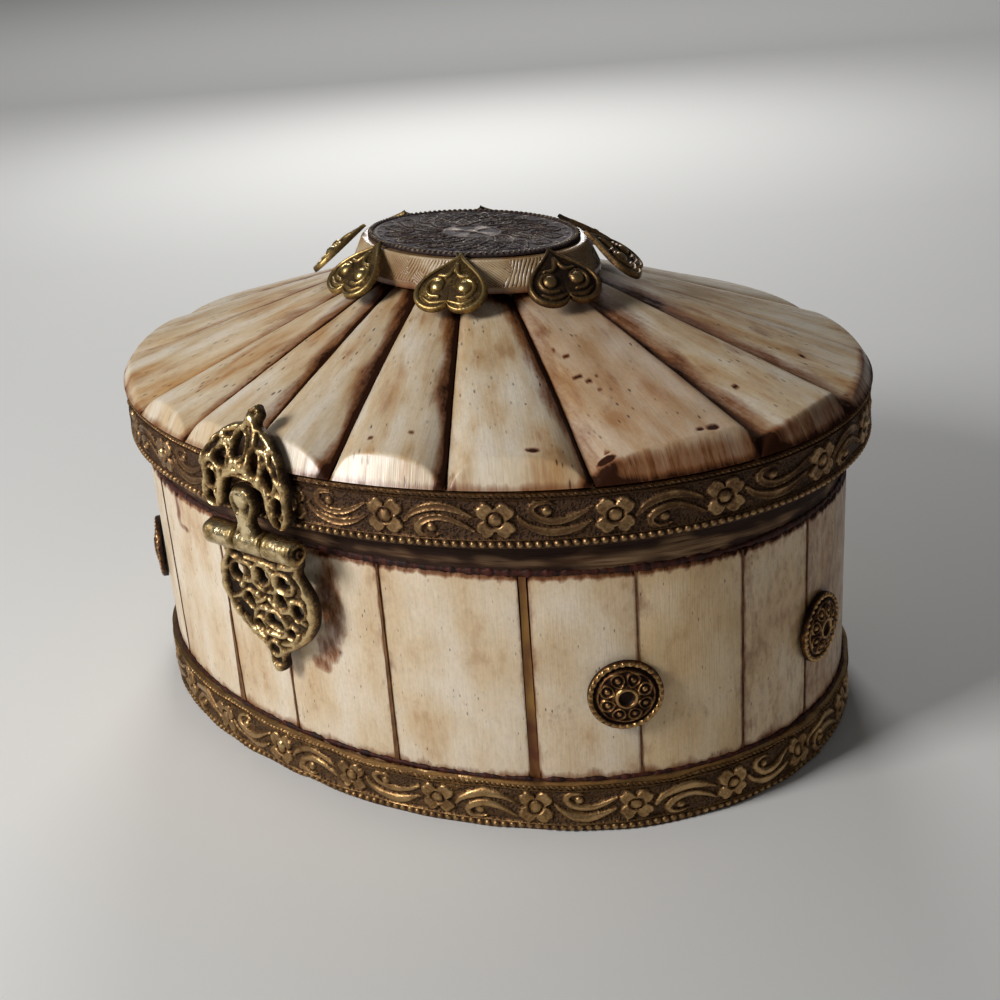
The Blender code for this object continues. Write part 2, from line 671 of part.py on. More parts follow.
def make_upper_latch_plate(box):
    """Pierced plate on the lid: upright over the band, then bent back over the ends of the petals."""
    back = BAND_FRONT - FIT_GAP
    bend = RIM_HEIGHT + FIT_GAP
    run = LATCH_UPPER_BEND_LENGTH
    knee = (back + run * math.sin(PETAL_FACET_LEAN), bend + run * math.cos(PETAL_FACET_LEAN))
    tip = (
        knee[0] + run * math.sin(LATCH_UPPER_BEND_LEAN),
        knee[1] + run * math.cos(LATCH_UPPER_BEND_LEAN),
    )
    spine = [(back, SEAM_HEIGHT - CUT_OVERRUN), (back, bend), knee, tip]
    width = LATCH_UPPER_WIDTH + CUT_OVERRUN * 2
    strip = bent_strip_mesh("latch_plate_upper", spine, LATCH_PLATE_THICKNESS, width)
    plate = box.add("latch_plate_upper", strip, BRASS, box.lid_axis)
    sizes = (LATCH_UPPER_WIDTH / 2, LATCH_UPPER_HEIGHT, SEAM_HEIGHT + LATCH_UPPER_LIFT)
    outline = share_outline(UPPER_OUTLINE_SHARES, *sizes)
    holes = share_holes(UPPER_HOLE_SHARES, *sizes)
    box.boolean(plate, "INTERSECT", "outline", pierced_mesh("upper_outline", outline, holes))


def make_lower_latch_plate(box):
    """Pierced plate on the case: flat on the wall, cranked out at the top to its two knuckles."""
    wall = -CASE_HALF[1] - FIT_GAP
    axis_y, axis_z = LATCH_AXIS.y, LATCH_AXIS.z
    crank = (wall, axis_z - LATCH_CRANK_DROP)
    seat = (axis_y + LATCH_CRANK_INSET, axis_z - LATCH_CRANK_SEAT)
    spine = [(wall, axis_z - LATCH_LOWER_HEIGHT - CUT_OVERRUN * 2), crank, seat]
    width = LATCH_LOWER_WIDTH + CUT_OVERRUN * 2
    strip = bent_strip_mesh("latch_plate_lower", spine, LATCH_PLATE_THICKNESS, width)
    plate = box.add("latch_plate_lower", strip, BRASS)
    sizes = (LATCH_LOWER_WIDTH / 2, LATCH_LOWER_HEIGHT, axis_z)
    outline = share_outline(LOWER_OUTLINE_SHARES, *sizes)
    holes = share_holes(LOWER_HOLE_SHARES, *sizes)
    box.boolean(plate, "INTERSECT", "outline", pierced_mesh("lower_outline", outline, holes))
    inner = LATCH_MIDDLE_LENGTH / 2 + FIT_GAP
    room = cylinder_mesh(
        "latch_room", LATCH_BARREL_RADIUS + RUNNING_GAP, -inner - SET_BACK, inner + SET_BACK, LATCH_AXIS
    )
    box.boolean(plate, "DIFFERENCE", "room", room)
    knuckle = LATCH_BARREL_RADIUS
    for side, start, end in (("left", -LATCH_BARREL_HALF, -inner), ("right", inner, LATCH_BARREL_HALF)):
        box.boolean(plate, "UNION", side, cylinder_mesh(side, knuckle, start, end, LATCH_AXIS))
    cut_latch_bore(box, plate)


def cut_latch_bore(box, obj):
    """Bore a piece of the latch along its pin."""
    reach = LATCH_BARREL_HALF + CUT_OVERRUN
    bore = cylinder_mesh("latch_bore", LATCH_BORE_RADIUS, -reach, reach, LATCH_AXIS)
    box.boolean(obj, "DIFFERENCE", "bore", bore)


def make_latch_tongue(box):
    """The tongue: a middle knuckle, a narrow strap up in front of the band and a round head."""
    back = BAND_FRONT - TONGUE_CLEARANCE
    half = LATCH_MIDDLE_LENGTH / 2
    knuckle = cylinder_mesh("latch_tongue", LATCH_BARREL_RADIUS, -half, half, LATCH_AXIS)
    tongue = box.add("latch_tongue", knuckle, BRASS, box.latch_axis)
    foot, head = LATCH_AXIS.z, LATCH_AXIS.z + TONGUE_LENGTH
    strap_half = TONGUE_WIDTH / 2
    strap = [(-strap_half, foot), (strap_half, foot), (strap_half, head), (-strap_half, head)]
    disc = ellipse_outline(0, head, TONGUE_HEAD_RADIUS, TONGUE_HEAD_RADIUS)
    for name, outline, thickness in (
        ("strap", strap, TONGUE_THICKNESS),
        ("head", disc, TONGUE_THICKNESS + TONGUE_HEAD_BOSS),
    ):
        place = Matrix.Translation((0, back - thickness / 2, 0)) @ FRONT_VIEW
        box.boolean(tongue, "UNION", name, curve_mesh(flat_curve(name, [outline], thickness), place))
    cut_latch_bore(box, tongue)


def make_latch_pin(box):
    """The pin through the latch's knuckles, with its head at the left end."""
    half = LATCH_BARREL_HALF
    head_end = -half - FIT_GAP
    head_middle = head_end - LATCH_PIN_HEAD_LENGTH / 2
    pin = cylinder_mesh("latch_pin", LATCH_PIN_RADIUS, head_middle, half, LATCH_AXIS)
    obj = box.add("latch_pin", pin, OLD_BRASS)
    head_start = head_end - LATCH_PIN_HEAD_LENGTH
    head = cylinder_mesh("head", LATCH_PIN_HEAD_RADIUS, head_start, head_end, LATCH_AXIS)
    box.boolean(obj, "UNION", "head", head)


# Hinge


def cut_hinge_bore(box, obj):
    """Bore a hinge leaf along its pin."""
    reach = HINGE_LENGTH / 2 + CUT_OVERRUN
    bore = cylinder_mesh("hinge_bore", HINGE_BORE_RADIUS, -reach, reach, HINGE_AXIS)
    box.boolean(obj, "DIFFERENCE", "bore", bore)


def make_hinge(box):
    """Three knuckles on a pin: the middle one on the lid's leaf, the outer two on the case's leaf."""
    half, middle = HINGE_LENGTH / 2, HINGE_MIDDLE_LENGTH / 2
    axis_y, axis_z = HINGE_AXIS.y, HINGE_AXIS.z
    slot = middle + RUNNING_GAP

    leaf_back = BAND_BACK + FIT_GAP + SET_BACK
    foot = axis_z + HINGE_BARREL_RADIUS + RUNNING_GAP
    top = foot + HINGE_UPPER_LEAF_HEIGHT
    tab, root = middle - SET_BACK, foot + SET_BACK
    outline = [
        (-tab, axis_z), (tab, axis_z), (tab, root), (half, foot), (half, top), (-half, top),
        (-half, foot), (-tab, root),
    ]
    place = Matrix.Translation((0, leaf_back + HINGE_LEAF_THICKNESS / 2, 0)) @ FRONT_VIEW
    leaf = curve_mesh(flat_curve("hinge_leaf_upper", [outline], HINGE_LEAF_THICKNESS), place)
    upper = box.add("hinge_leaf_upper", leaf, OLD_BRASS, box.lid_axis)
    knuckle = cylinder_mesh("middle", HINGE_BARREL_RADIUS, -middle, middle, HINGE_AXIS)
    box.boolean(upper, "UNION", "middle", knuckle)
    cut_hinge_bore(box, upper)

    wall = CASE_HALF[1] + FIT_GAP
    leaf_top = axis_z - HINGE_LOWER_LEAF_DROP
    leaf_foot = leaf_top - HINGE_LOWER_LEAF_HEIGHT
    seat = (axis_y - HINGE_ARM_SEAT, axis_z - HINGE_ARM_SEAT)
    spine = [seat, (wall + HINGE_LEAF_THICKNESS, leaf_top), (wall + HINGE_LEAF_THICKNESS, leaf_foot)]
    strip = bent_strip_mesh("hinge_leaf_lower", spine[::-1], HINGE_LEAF_THICKNESS, HINGE_LENGTH)
    lower = box.add("hinge_leaf_lower", strip, OLD_BRASS)
    slot_floor = leaf_top + HINGE_LEAF_THICKNESS
    slot_top = axis_z + CUT_OVERRUN
    side = slot + SET_BACK
    cut = [(-side, slot_floor), (side, slot_floor), (side, slot_top), (-side, slot_top)]
    between = curve_mesh(flat_curve("between", [cut], CASE_WIDTH + LID_WIDTH), FRONT_VIEW)
    box.boolean(lower, "DIFFERENCE", "between", between)
    for name, start, end in (("left", -half, -slot), ("right", slot, half)):
        knuckle = cylinder_mesh(name, HINGE_BARREL_RADIUS, start, end, HINGE_AXIS)
        box.boolean(lower, "UNION", name, knuckle)
    cut_hinge_bore(box, lower)

    reach = half + HINGE_PIN_END
    pin = cylinder_mesh("hinge_pin", HINGE_PIN_RADIUS, -reach, reach, HINGE_AXIS)
    box.add("hinge_pin", pin, OLD_BRASS)


def main():
    """Build the whole box."""
    clear_scene()
    box = Box()
    make_board_and_wall(box)
    make_staves(box)
    base_inner = tuple(half + FIT_GAP for half in CASE_HALF)
    make_band(box, "base_band", base_inner, CASE_POWER, (0, 0), 0, BASE_BAND_HEIGHT, BRASS)
    make_medallions(box)
    make_lid_shell(box)
    make_petals(box)
    lid_inner = tuple(half - BAND_THICKNESS for half in LID_HALF)
    lid_sizes = (lid_inner, LID_POWER, LID_CENTRE, SEAM_HEIGHT, LID_BAND_HEIGHT)
    make_band(box, "lid_band", *lid_sizes, OLD_BRASS, box.lid_axis)
    make_crown(box)
    make_hearts(box)
    make_upper_latch_plate(box)
    make_lower_latch_plate(box)
    make_latch_tongue(box)
    make_latch_pin(box)
    make_hinge(box)


if __name__ == "__main__":
    main()
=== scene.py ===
"""Looks of the oval trinket box: bone staves and petals on a wooden core, trimmed with old brass.

Lengths are metres, +Z is up, the latch faces -Y and the long axis lies along X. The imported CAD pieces
give the places and the joints. The pieces built here stand for them or sit on them, and ride on the
same bodies. Every surface is a grid of two parameters, apart from the pierced plates, which are meshed
between their outlines. Each finish is laid out in real millimetres.
"""

import logging
import math
from collections.abc import Callable
from dataclasses import dataclass
from enum import Enum

import bpy
import numpy as np
from mathutils import Matrix, Vector
from mathutils.geometry import delaunay_2d_cdt


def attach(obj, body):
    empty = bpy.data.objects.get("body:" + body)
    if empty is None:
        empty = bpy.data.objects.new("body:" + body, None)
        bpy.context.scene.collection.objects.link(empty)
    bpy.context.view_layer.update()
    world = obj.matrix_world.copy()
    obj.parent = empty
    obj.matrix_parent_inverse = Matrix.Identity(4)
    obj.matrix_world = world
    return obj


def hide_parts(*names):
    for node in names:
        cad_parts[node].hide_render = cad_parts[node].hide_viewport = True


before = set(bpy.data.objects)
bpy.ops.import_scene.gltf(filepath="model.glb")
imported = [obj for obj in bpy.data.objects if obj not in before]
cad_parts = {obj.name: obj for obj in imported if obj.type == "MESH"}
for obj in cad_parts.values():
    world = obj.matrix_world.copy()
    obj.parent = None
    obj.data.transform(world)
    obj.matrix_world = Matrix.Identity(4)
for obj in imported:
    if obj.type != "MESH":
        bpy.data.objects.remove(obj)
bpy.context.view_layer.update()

LOG = logging.getLogger("trinket_box")
MM = 0.001
FIT_GAP = 0.3 * MM
SHARP_EDGE = math.radians(42)
UP = (0.0, 0.0, 1.0)


class Body(Enum):
    """The bodies that a piece can ride on."""

    CASE = "case"
    LID = "lid"
    TONGUE = "latch_tongue"


class Slot(Enum):
    """The record's material slots."""

    BONE = "bone"
    WOOD = "wood_core"
    BAND = "band_brass"
    DARK = "dark_brass"
    CAST = "cast_brass"
    HINGE = "hinge_brass"


# Arithmetic on whole arrays


def full_turn(count: int) -> np.ndarray:
    """Even angles round a turn, as a column.

    Args:
        count: how many.

    Returns:
        The angles from nought, without the one that would close the turn.
    """
    return np.linspace(0, math.tau, count + 1)[:-1, None]


def stacked(*fields: np.ndarray | float) -> np.ndarray:
    """Put coordinates side by side.

    Args:
        fields: one array for each coordinate, of shapes that fit each other.

    Returns:
        One array, with the coordinates in its last axis.
    """
    return np.stack(np.broadcast_arrays(*fields), axis=-1)


def raised(plan: np.ndarray, height: np.ndarray | float) -> np.ndarray:
    """Give the points of a plan their heights.

    Args:
        plan: x and y in the last axis.
        height: the heights, in a shape that fits the plan's other axes.

    Returns:
        x, y and z in the last axis.
    """
    return stacked(plan[..., 0], plan[..., 1], height)


def signed_degrees(angles: np.ndarray) -> np.ndarray:
    """Turn angles in radians to degrees from -180 to 180.

    Args:
        angles: the angles.

    Returns:
        The degrees.
    """
    return (np.degrees(angles) + 180) % 360 - 180


def bell(values: np.ndarray, centre: float, width: float) -> np.ndarray:
    """Height of a bell curve.

    Args:
        values: any array.
        centre: where the curve is highest.
        width: how far from there it falls to about a third.

    Returns:
        Heights from 0 to 1.
    """
    return np.exp(-(((values - centre) / width) ** 2))


def smooth_step(values: np.ndarray, low: float, high: float) -> np.ndarray:
    """Rise smoothly from nothing at low to one at high.

    Args:
        values: any array.
        low: where the rise starts.
        high: where it ends, which may be below low.

    Returns:
        The array of steps.
    """
    share = np.clip((values - low) / (high - low), 0, 1)
    return share * share * (3 - 2 * share)


def highest(*fields: np.ndarray) -> np.ndarray:
    """The highest of several reliefs at every point.

    Args:
        fields: arrays whose shapes fit each other.

    Returns:
        The highest values.
    """
    return np.maximum.reduce(np.broadcast_arrays(*fields))


def dome(distance: np.ndarray, radius: float | np.ndarray) -> np.ndarray:
    """Height of a half round at a distance from its middle: the root of one less the square.

    Args:
        distance: how far each point is from the middle.
        radius: where the height falls to nothing.

    Returns:
        Heights from 0 to 1.
    """
    return np.sqrt(np.clip(1 - (distance / radius) ** 2, 0, 1))


def wander(first: np.ndarray | float, second: np.ndarray | float, pitch: float, seed: int) -> np.ndarray:
    """Slow unevenness of a hand-worked surface: six sine waves that run in different directions.

    Args:
        first: one coordinate of each point.
        second: the other coordinate.
        pitch: the length of the slowest wave.
        seed: which set of directions and phases.

    Returns:
        Values from about -1 to 1.
    """
    draw = np.random.default_rng(seed)
    total = np.zeros(np.broadcast(first, second).shape)
    for order in range(6):
        heading, phase = draw.uniform(0, math.tau, 2)
        count = math.tau / pitch * (1 + 0.55 * order)
        ripple = count * (first * math.cos(heading) + second * math.sin(heading)) + phase
        total += np.sin(ripple) / (1 + 0.6 * order)
    return total / 2.6


def stroke(x: np.ndarray, y: np.ndarray, path: list, width: float, ends: tuple = (0.25, 0.25)) -> np.ndarray:
    """Height of a half-round line along a path, thinner towards its ends.

    The distance from each point to the nearest stretch of the path is set against the line's half
    width there, and turned to a half round.

    Args:
        x: first coordinate of each point.
        y: second coordinate.
        path: corners of the path.
        width: half width at its fullest.
        ends: half widths at the two ends, as shares of the fullest.

    Returns:
        Heights from 0 to 1.
    """
    corners = smooth_path(path, 6)
    lengths = np.hypot(*np.diff(corners, axis=0).T)
    places = np.concatenate([[0], np.cumsum(lengths)]) / lengths.sum()
    height = np.zeros(x.shape)
    for start, end, first, last in zip(corners[:-1], corners[1:], places[:-1], places[1:]):
        run = end - start
        share = np.clip(((x - start[0]) * run[0] + (y - start[1]) * run[1]) / (run @ run), 0, 1)
        away = np.hypot(x - start[0] - share * run[0], y - start[1] - share * run[1])
        along = first + share * (last - first)
        edge = ends[0] * (1 - along) + ends[1] * along
        full = width * (edge + (1 - edge) * np.sin(math.pi * np.clip(along, 0, 1)) ** 0.8)
        height = np.maximum(height, dome(away, full) * (0.6 + 0.4 * full / width))
    return height


def smooth_path(path: list, steps: int) -> np.ndarray:
    """Points of a Catmull-Rom line through the corners of a path.

    Args:
        path: the corners.
        steps: points for each stretch.

    Returns:
        The points, as rows.
    """
    corners = np.asarray(path, float)
    padded = np.vstack([2 * corners[0] - corners[1], corners, 2 * corners[-1] - corners[-2]])
    share = np.arange(steps)[:, None] / steps
    stretches = []
    for a, b, c, d in zip(padded[:-3], padded[1:-2], padded[2:-1], padded[3:]):
        bend = (2 * a - 5 * b + 4 * c - d) * share**2 + (3 * b - a - 3 * c + d) * share**3
        stretches.append((2 * b + (c - a) * share + bend) / 2)
    return np.vstack([*stretches, corners[-1:]])


def spiral(x: float, y: float, radius: float, start: float, turns: float) -> list:
    """Corners of a line that winds in to a point.

    Args:
        x: first coordinate of the middle.
        y: second coordinate.
        radius: how far out it starts.
        start: the angle that it starts at, in degrees.
        turns: how many turns it makes, with a minus sign for clockwise.

    Returns:
        The corners.
    """
    share = np.linspace(0, 1, int(abs(turns) * 9) + 2)
    angle = math.radians(start) + math.tau * turns * share
    reach = radius * (1 - 0.8 * share)
    return list(zip(x + reach * np.cos(angle), y + reach * np.sin(angle)))


@dataclass(frozen=True)
class Oval:
    """A superellipse in plan."""

    half: tuple[float, float]
    power: float = 2.0
    centre: tuple[float, float] = (0.0, 0.0)

    def grown(self, by: float) -> "Oval":
        """The same oval with longer half axes.

        Args:
            by: how much longer.

        Returns:
            The new oval.
        """
        return Oval((self.half[0] + by, self.half[1] + by), self.power, self.centre)

    def points(self, angles: np.ndarray) -> np.ndarray:
        """Points at parameter angles counted from +X.

        Args:
            angles: the angles, in radians.

        Returns:
            x and y in the last axis.
        """
        cosine, sine = np.cos(angles), np.sin(angles)
        x = self.half[0] * np.sign(cosine) * np.abs(cosine) ** (2 / self.power)
        y = self.half[1] * np.sign(sine) * np.abs(sine) ** (2 / self.power)
        return stacked(x + self.centre[0], y + self.centre[1])

    def normals(self, angles: np.ndarray) -> np.ndarray:
        """Outward directions at parameter angles.

        Args:
            angles: the angles, in radians.

        Returns:
            Unit vectors, x and y in the last axis.
        """
        away = (self.points(angles) - self.centre) / self.half
        slope = np.sign(away) * np.abs(away) ** (self.power - 1) / self.half
        return slope / np.linalg.norm(slope, axis=-1, keepdims=True)

    def speed(self, angles: np.ndarray | float) -> np.ndarray:
        """About how far a point moves along the oval for each radian.

        Args:
            angles: where it is, in radians.

        Returns:
            The distances.
        """
        return np.hypot(self.half[0] * np.sin(angles), self.half[1] * np.cos(angles))

    def table(self) -> tuple[np.ndarray, np.ndarray]:
        """Angles round three turns, and the distance travelled to each.

        Returns:
            The angles and the distances, which are nothing at angle nought.
        """
        angles = np.linspace(-math.tau, 2 * math.tau, 12001)
        steps = np.linalg.norm(np.diff(self.points(angles), axis=0), axis=1)
        distance = np.concatenate([[0], np.cumsum(steps)])
        return angles, distance - np.interp(0, angles, distance)

    def travel(self, angles: np.ndarray) -> np.ndarray:
        """Distance along the oval to parameter angles.

        Args:
            angles: the angles, in radians.

        Returns:
            Distances from angle nought.
        """
        return np.interp(angles, *self.table())

    def even(self, count: int, start: float = 0.0, end: float = math.tau) -> np.ndarray:
        """Angles that part a stretch of the oval into even lengths.

        Args:
            count: how many angles, with both ends.
            start: the first angle.
            end: the last angle.

        Returns:
            The angles.
        """
        angles, distance = self.table()
        first, last = np.interp([start, end], angles, distance)
        return np.interp(np.linspace(first, last, count), distance, angles)

    def lap(self, count: int) -> np.ndarray:
        """Angles that part the whole oval into even lengths, as a column.

        Args:
            count: how many lengths.

        Returns:
            The angles from nought, without the one that would close the oval.
        """
        return self.even(count + 1)[:-1, None]


# Meshes


@dataclass
class Surface:
    """A surface as a grid of points: rows follow its path and columns go round its profile."""

    name: str
    points: np.ndarray
    values: dict[str, np.ndarray]
    ring: bool = False
    tube: bool = False
    capped: bool = False

    def build(self) -> bpy.types.Object:
        """Turn the grid to a mesh object, with its values as point attributes.

        Returns:
            The object, in place and facing out.
        """
        rows, columns = self.points.shape[:2]
        index = np.arange(rows * columns).reshape(rows, columns)
        first, last = index[0], index[-1]
        if self.ring:
            index = np.vstack([index, index[:1]])
        if self.tube:
            index = np.hstack([index, index[:, :1]])
        corners = (index[:-1, :-1], index[1:, :-1], index[1:, 1:], index[:-1, 1:])
        faces = np.stack(corners, axis=-1).reshape(-1, 4).tolist()
        if self.capped:
            faces += [first.tolist(), last[::-1].tolist()]
        return solid(self.name, self.points.reshape(-1, 3), faces, self.values)


def solid(name: str, points: np.ndarray, faces: list, values: dict | None = None) -> bpy.types.Object:
    """Make a smooth mesh object from points and faces, turned so that it faces out.

    Args:
        name: the object's name.
        points: rows of x, y and z.
        faces: corner numbers of each face.
        values: point attributes by name, as numbers or as rows of three.

    Returns:
        The object.
    """
    mesh = bpy.data.meshes.new(name)
    mesh.from_pydata(points.tolist(), [], faces)
    for key, array in (values or {}).items():
        flat = np.ascontiguousarray(array, np.float32)
        if flat.size == 3 * len(points):
            mesh.attributes.new(key, "FLOAT_VECTOR", "POINT").data.foreach_set("vector", flat.ravel())
        else:
            mesh.attributes.new(key, "FLOAT", "POINT").data.foreach_set("value", flat.ravel())
    mesh.calc_loop_triangles()
    corner = np.empty(len(mesh.loop_triangles) * 3, np.int32)
    mesh.loop_triangles.foreach_get("vertices", corner)
    a, b, c = np.moveaxis(points[corner.reshape(-1, 3)], 1, 0)
    if np.einsum("ij,ij->i", a, np.cross(b, c)).sum() < 0:
        mesh.flip_normals()
    mesh.shade_smooth()
    mesh.set_sharp_from_angle(angle=SHARP_EDGE)
    return placed(name, mesh)


def placed(name: str, data: bpy.types.ID) -> bpy.types.Object:
    """Make an object of a mesh, a lamp or a camera, and put it in the scene.

    Args:
        name: the object's name.
        data: what it holds.

    Returns:
        The object.
    """
    made = bpy.data.objects.new(name, data)
    bpy.context.scene.collection.objects.link(made)
    return made


def settle(
    made: bpy.types.Object, body: Body, slot: Slot, finish: bpy.types.Material, stands_for: list | tuple = ()
) -> None:
    """Give a piece its finish, its body and the CAD nodes that it stands for.

    Args:
        made: the piece.
        body: the body that it rides on.
        slot: the record's slot that its finish belongs to; not used.
        finish: its material.
        stands_for: names of the CAD nodes that it is shown in place of.
    """
    made.data.materials.append(finish)
    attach(made, body.value)
    if stands_for:
        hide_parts(*stands_for)
    LOG.info("%s: %d faces on %s", made.name, len(made.data.polygons), body.value)


def frame_at(place: np.ndarray, right: np.ndarray, up: np.ndarray, out: np.ndarray) -> Callable:
    """Make a function that carries local points to a place with its own directions.

    Args:
        place: the local origin.
        right: where local x points.
        up: where local y points.
        out: where local z points.

    Returns:
        A function from local x, y and z arrays to points.
    """
    axes = np.array([right, up, out], float)

    def carry(x: np.ndarray, y: np.ndarray, z: np.ndarray | float) -> np.ndarray:
        """Carry local points to the place.

        Args:
            x: local x.
            y: local y.
            z: local z.

        Returns:
            The points.
        """
        return stacked(x, y, z) @ axes + place

    return carry


# Finishes


def linear(code: str) -> tuple[float, float, float, float]:
    """Turn an sRGB hex colour into linear values with full opacity.

    Args:
        code: six hex digits.

    Returns:
        Red, green, blue and opacity.
    """
    values = [int(code[place : place + 2], 16) / 255 for place in (0, 2, 4)]
    return (*[v / 12.92 if v <= 0.04045 else ((v + 0.055) / 1.055) ** 2.4 for v in values], 1.0)


class Shader:
    """The node tree of one material, built up to its surface shader."""

    def __init__(self, name: str) -> None:
        """Start a material with an empty tree.

        Args:
            name: the material's name.
        """
        self.material = bpy.data.materials.new(name)
        self.material.use_nodes = True
        self.tree = self.material.node_tree
        self.tree.nodes.clear()

    def add(self, kind: str, inputs: dict | None = None, **settings: object) -> bpy.types.Node:
        """Add a node, set it up and wire its inputs.

        Args:
            kind: the node's type without its ShaderNode prefix.
            inputs: socket name or number to a value or to another node's output.
            settings: the node's own properties.

        Returns:
            The new node.
        """
        node = self.tree.nodes.new("ShaderNode" + kind)
        for key, value in settings.items():
            setattr(node, key, value)
        for key, value in (inputs or {}).items():
            if isinstance(value, bpy.types.NodeSocket):
                self.tree.links.new(value, node.inputs[key])
            else:
                node.inputs[key].default_value = value
        return node

    def ramp(self, factor: bpy.types.NodeSocket, stops: list[tuple]) -> bpy.types.NodeSocket:
        """Map a factor through colour stops.

        Args:
            factor: the socket to map.
            stops: pairs of place and hex colour, or of place and grey value.

        Returns:
            The colour socket.
        """
        node = self.add("ValToRGB", {0: factor})
        band = node.color_ramp
        while len(band.elements) < len(stops):
            band.elements.new(0.5)
        for element, (place, colour) in zip(band.elements, stops):
            element.position = place
            element.color = linear(colour) if isinstance(colour, str) else (colour,) * 3 + (1.0,)
        return node.outputs[0]

    def blend(self, factor: object, first: object, second: object, way: str = "MIX") -> bpy.types.NodeSocket:
        """Mix two colours.

        Args:
            factor: how much of the second, as a value or a socket.
            first: colour or socket under it.
            second: colour or socket over it.
            way: the blend type.

        Returns:
            The mixed colour socket.
        """
        return self.add("Mix", {0: factor, 6: first, 7: second}, data_type="RGBA", blend_type=way).outputs[2]

    def maths(self, operation: str, first: object, second: object = 0.0, clamp: bool = False) -> bpy.types.NodeSocket:
        """Combine two numbers.

        Args:
            operation: the math node's operation.
            first: value or socket.
            second: value or socket.
            clamp: whether the result stays from 0 to 1.

        Returns:
            The result socket.
        """
        return self.add("Math", {0: first, 1: second}, operation=operation, use_clamp=clamp).outputs[0]

    def object_place(self) -> bpy.types.NodeSocket:
        """Coordinates of the piece, in metres.

        Returns:
            Their socket.
        """
        return self.add("TexCoord").outputs["Object"]

    def scaled(self, place: bpy.types.NodeSocket, pitch: tuple) -> bpy.types.NodeSocket:
        """Stretch coordinates so that one pattern step has a real size along each axis.

        Args:
            place: the coordinates, in metres.
            pitch: the size of a step along x, y and z, in metres.

        Returns:
            The stretched coordinates.
        """
        return self.add("VectorMath", {0: place, 1: [1 / step for step in pitch]}, operation="MULTIPLY").outputs[0]

    def noise(self, place: bpy.types.NodeSocket, pitch: tuple, detail: float = 3.0) -> bpy.types.NodeSocket:
        """Noise with a real size along each axis.

        Args:
            place: the coordinates, in metres.
            pitch: the size of a blotch along x, y and z, in metres.
            detail: how many finer layers it has.

        Returns:
            The socket of its value.
        """
        inputs = {"Vector": self.scaled(place, pitch), "Scale": 1.0, "Detail": detail}
        return self.add("TexNoise", inputs).outputs[0]

    def flecks(self, place: bpy.types.NodeSocket, pitch: tuple, radius: float, share: float) -> bpy.types.NodeSocket:
        """Scattered small marks, in some of the cells of a Voronoi pattern.

        Args:
            place: the coordinates, in metres.
            pitch: the size of a cell along x, y and z, in metres.
            radius: radius of a mark, as a share of its cell.
            share: the share of the cells that hold one.

        Returns:
            A socket that is 1 in a mark and 0 outside.
        """
        cells = self.add("TexVoronoi", {"Vector": self.scaled(place, pitch), "Scale": 1.0})
        chosen = self.maths("LESS_THAN", self.add("SeparateColor", {0: cells.outputs[1]}).outputs[0], share)
        return self.maths("MULTIPLY", self.span(cells.outputs[0], radius, radius * 0.5), chosen)

    def span(self, factor: bpy.types.NodeSocket, low: float, high: float, top: float = 1.0) -> bpy.types.NodeSocket:
        """Map a number in a straight line, from nothing at low to the top at high.

        Args:
            factor: the number.
            low: where the result leaves nothing.
            high: where it reaches the top, which may be below low.
            top: the highest result.

        Returns:
            The result socket.
        """
        return self.add("MapRange", {0: factor, 1: low, 2: high, 3: 0.0, 4: top}).outputs[0]

    def shaken(self, first: object, noise: bpy.types.NodeSocket, share: float, clamp: bool = False) -> object:
        """Add a noise to a number, up and down from it alike.

        Args:
            first: value or socket.
            noise: the noise, which runs from 0 to 1.
            share: how much of it is added.
            clamp: whether the result stays from 0 to 1.

        Returns:
            The result socket.
        """
        offset = self.maths("MULTIPLY", self.maths("SUBTRACT", noise, 0.5), share)
        return self.maths("ADD", first, offset, clamp)

    def value(self, name: str) -> bpy.types.NodeSocket:
        """Read a number that the mesh carries.

        Args:
            name: the attribute.

        Returns:
            Its socket.
        """
        return self.add("Attribute", attribute_name=name).outputs["Fac"]

    def finish(self, inputs: dict, bump: object = None, depth: float = 0.0) -> bpy.types.Material:
        """Close the tree with its surface shader.

        Args:
            inputs: the surface shader's sockets.
            bump: height socket from 0 to 1, if the surface has fine relief.
            depth: height of that relief in metres.

        Returns:
            The material.
        """
        if bump is not None:
            relief = self.add("Bump", {"Height": bump, "Strength": 1.0, "Distance": depth})
            inputs = {**inputs, "Normal": relief.outputs[0]}
        surface = self.add("BsdfPrincipled", inputs)
        self.add("OutputMaterial", {0: surface.outputs[0]})
        return self.material


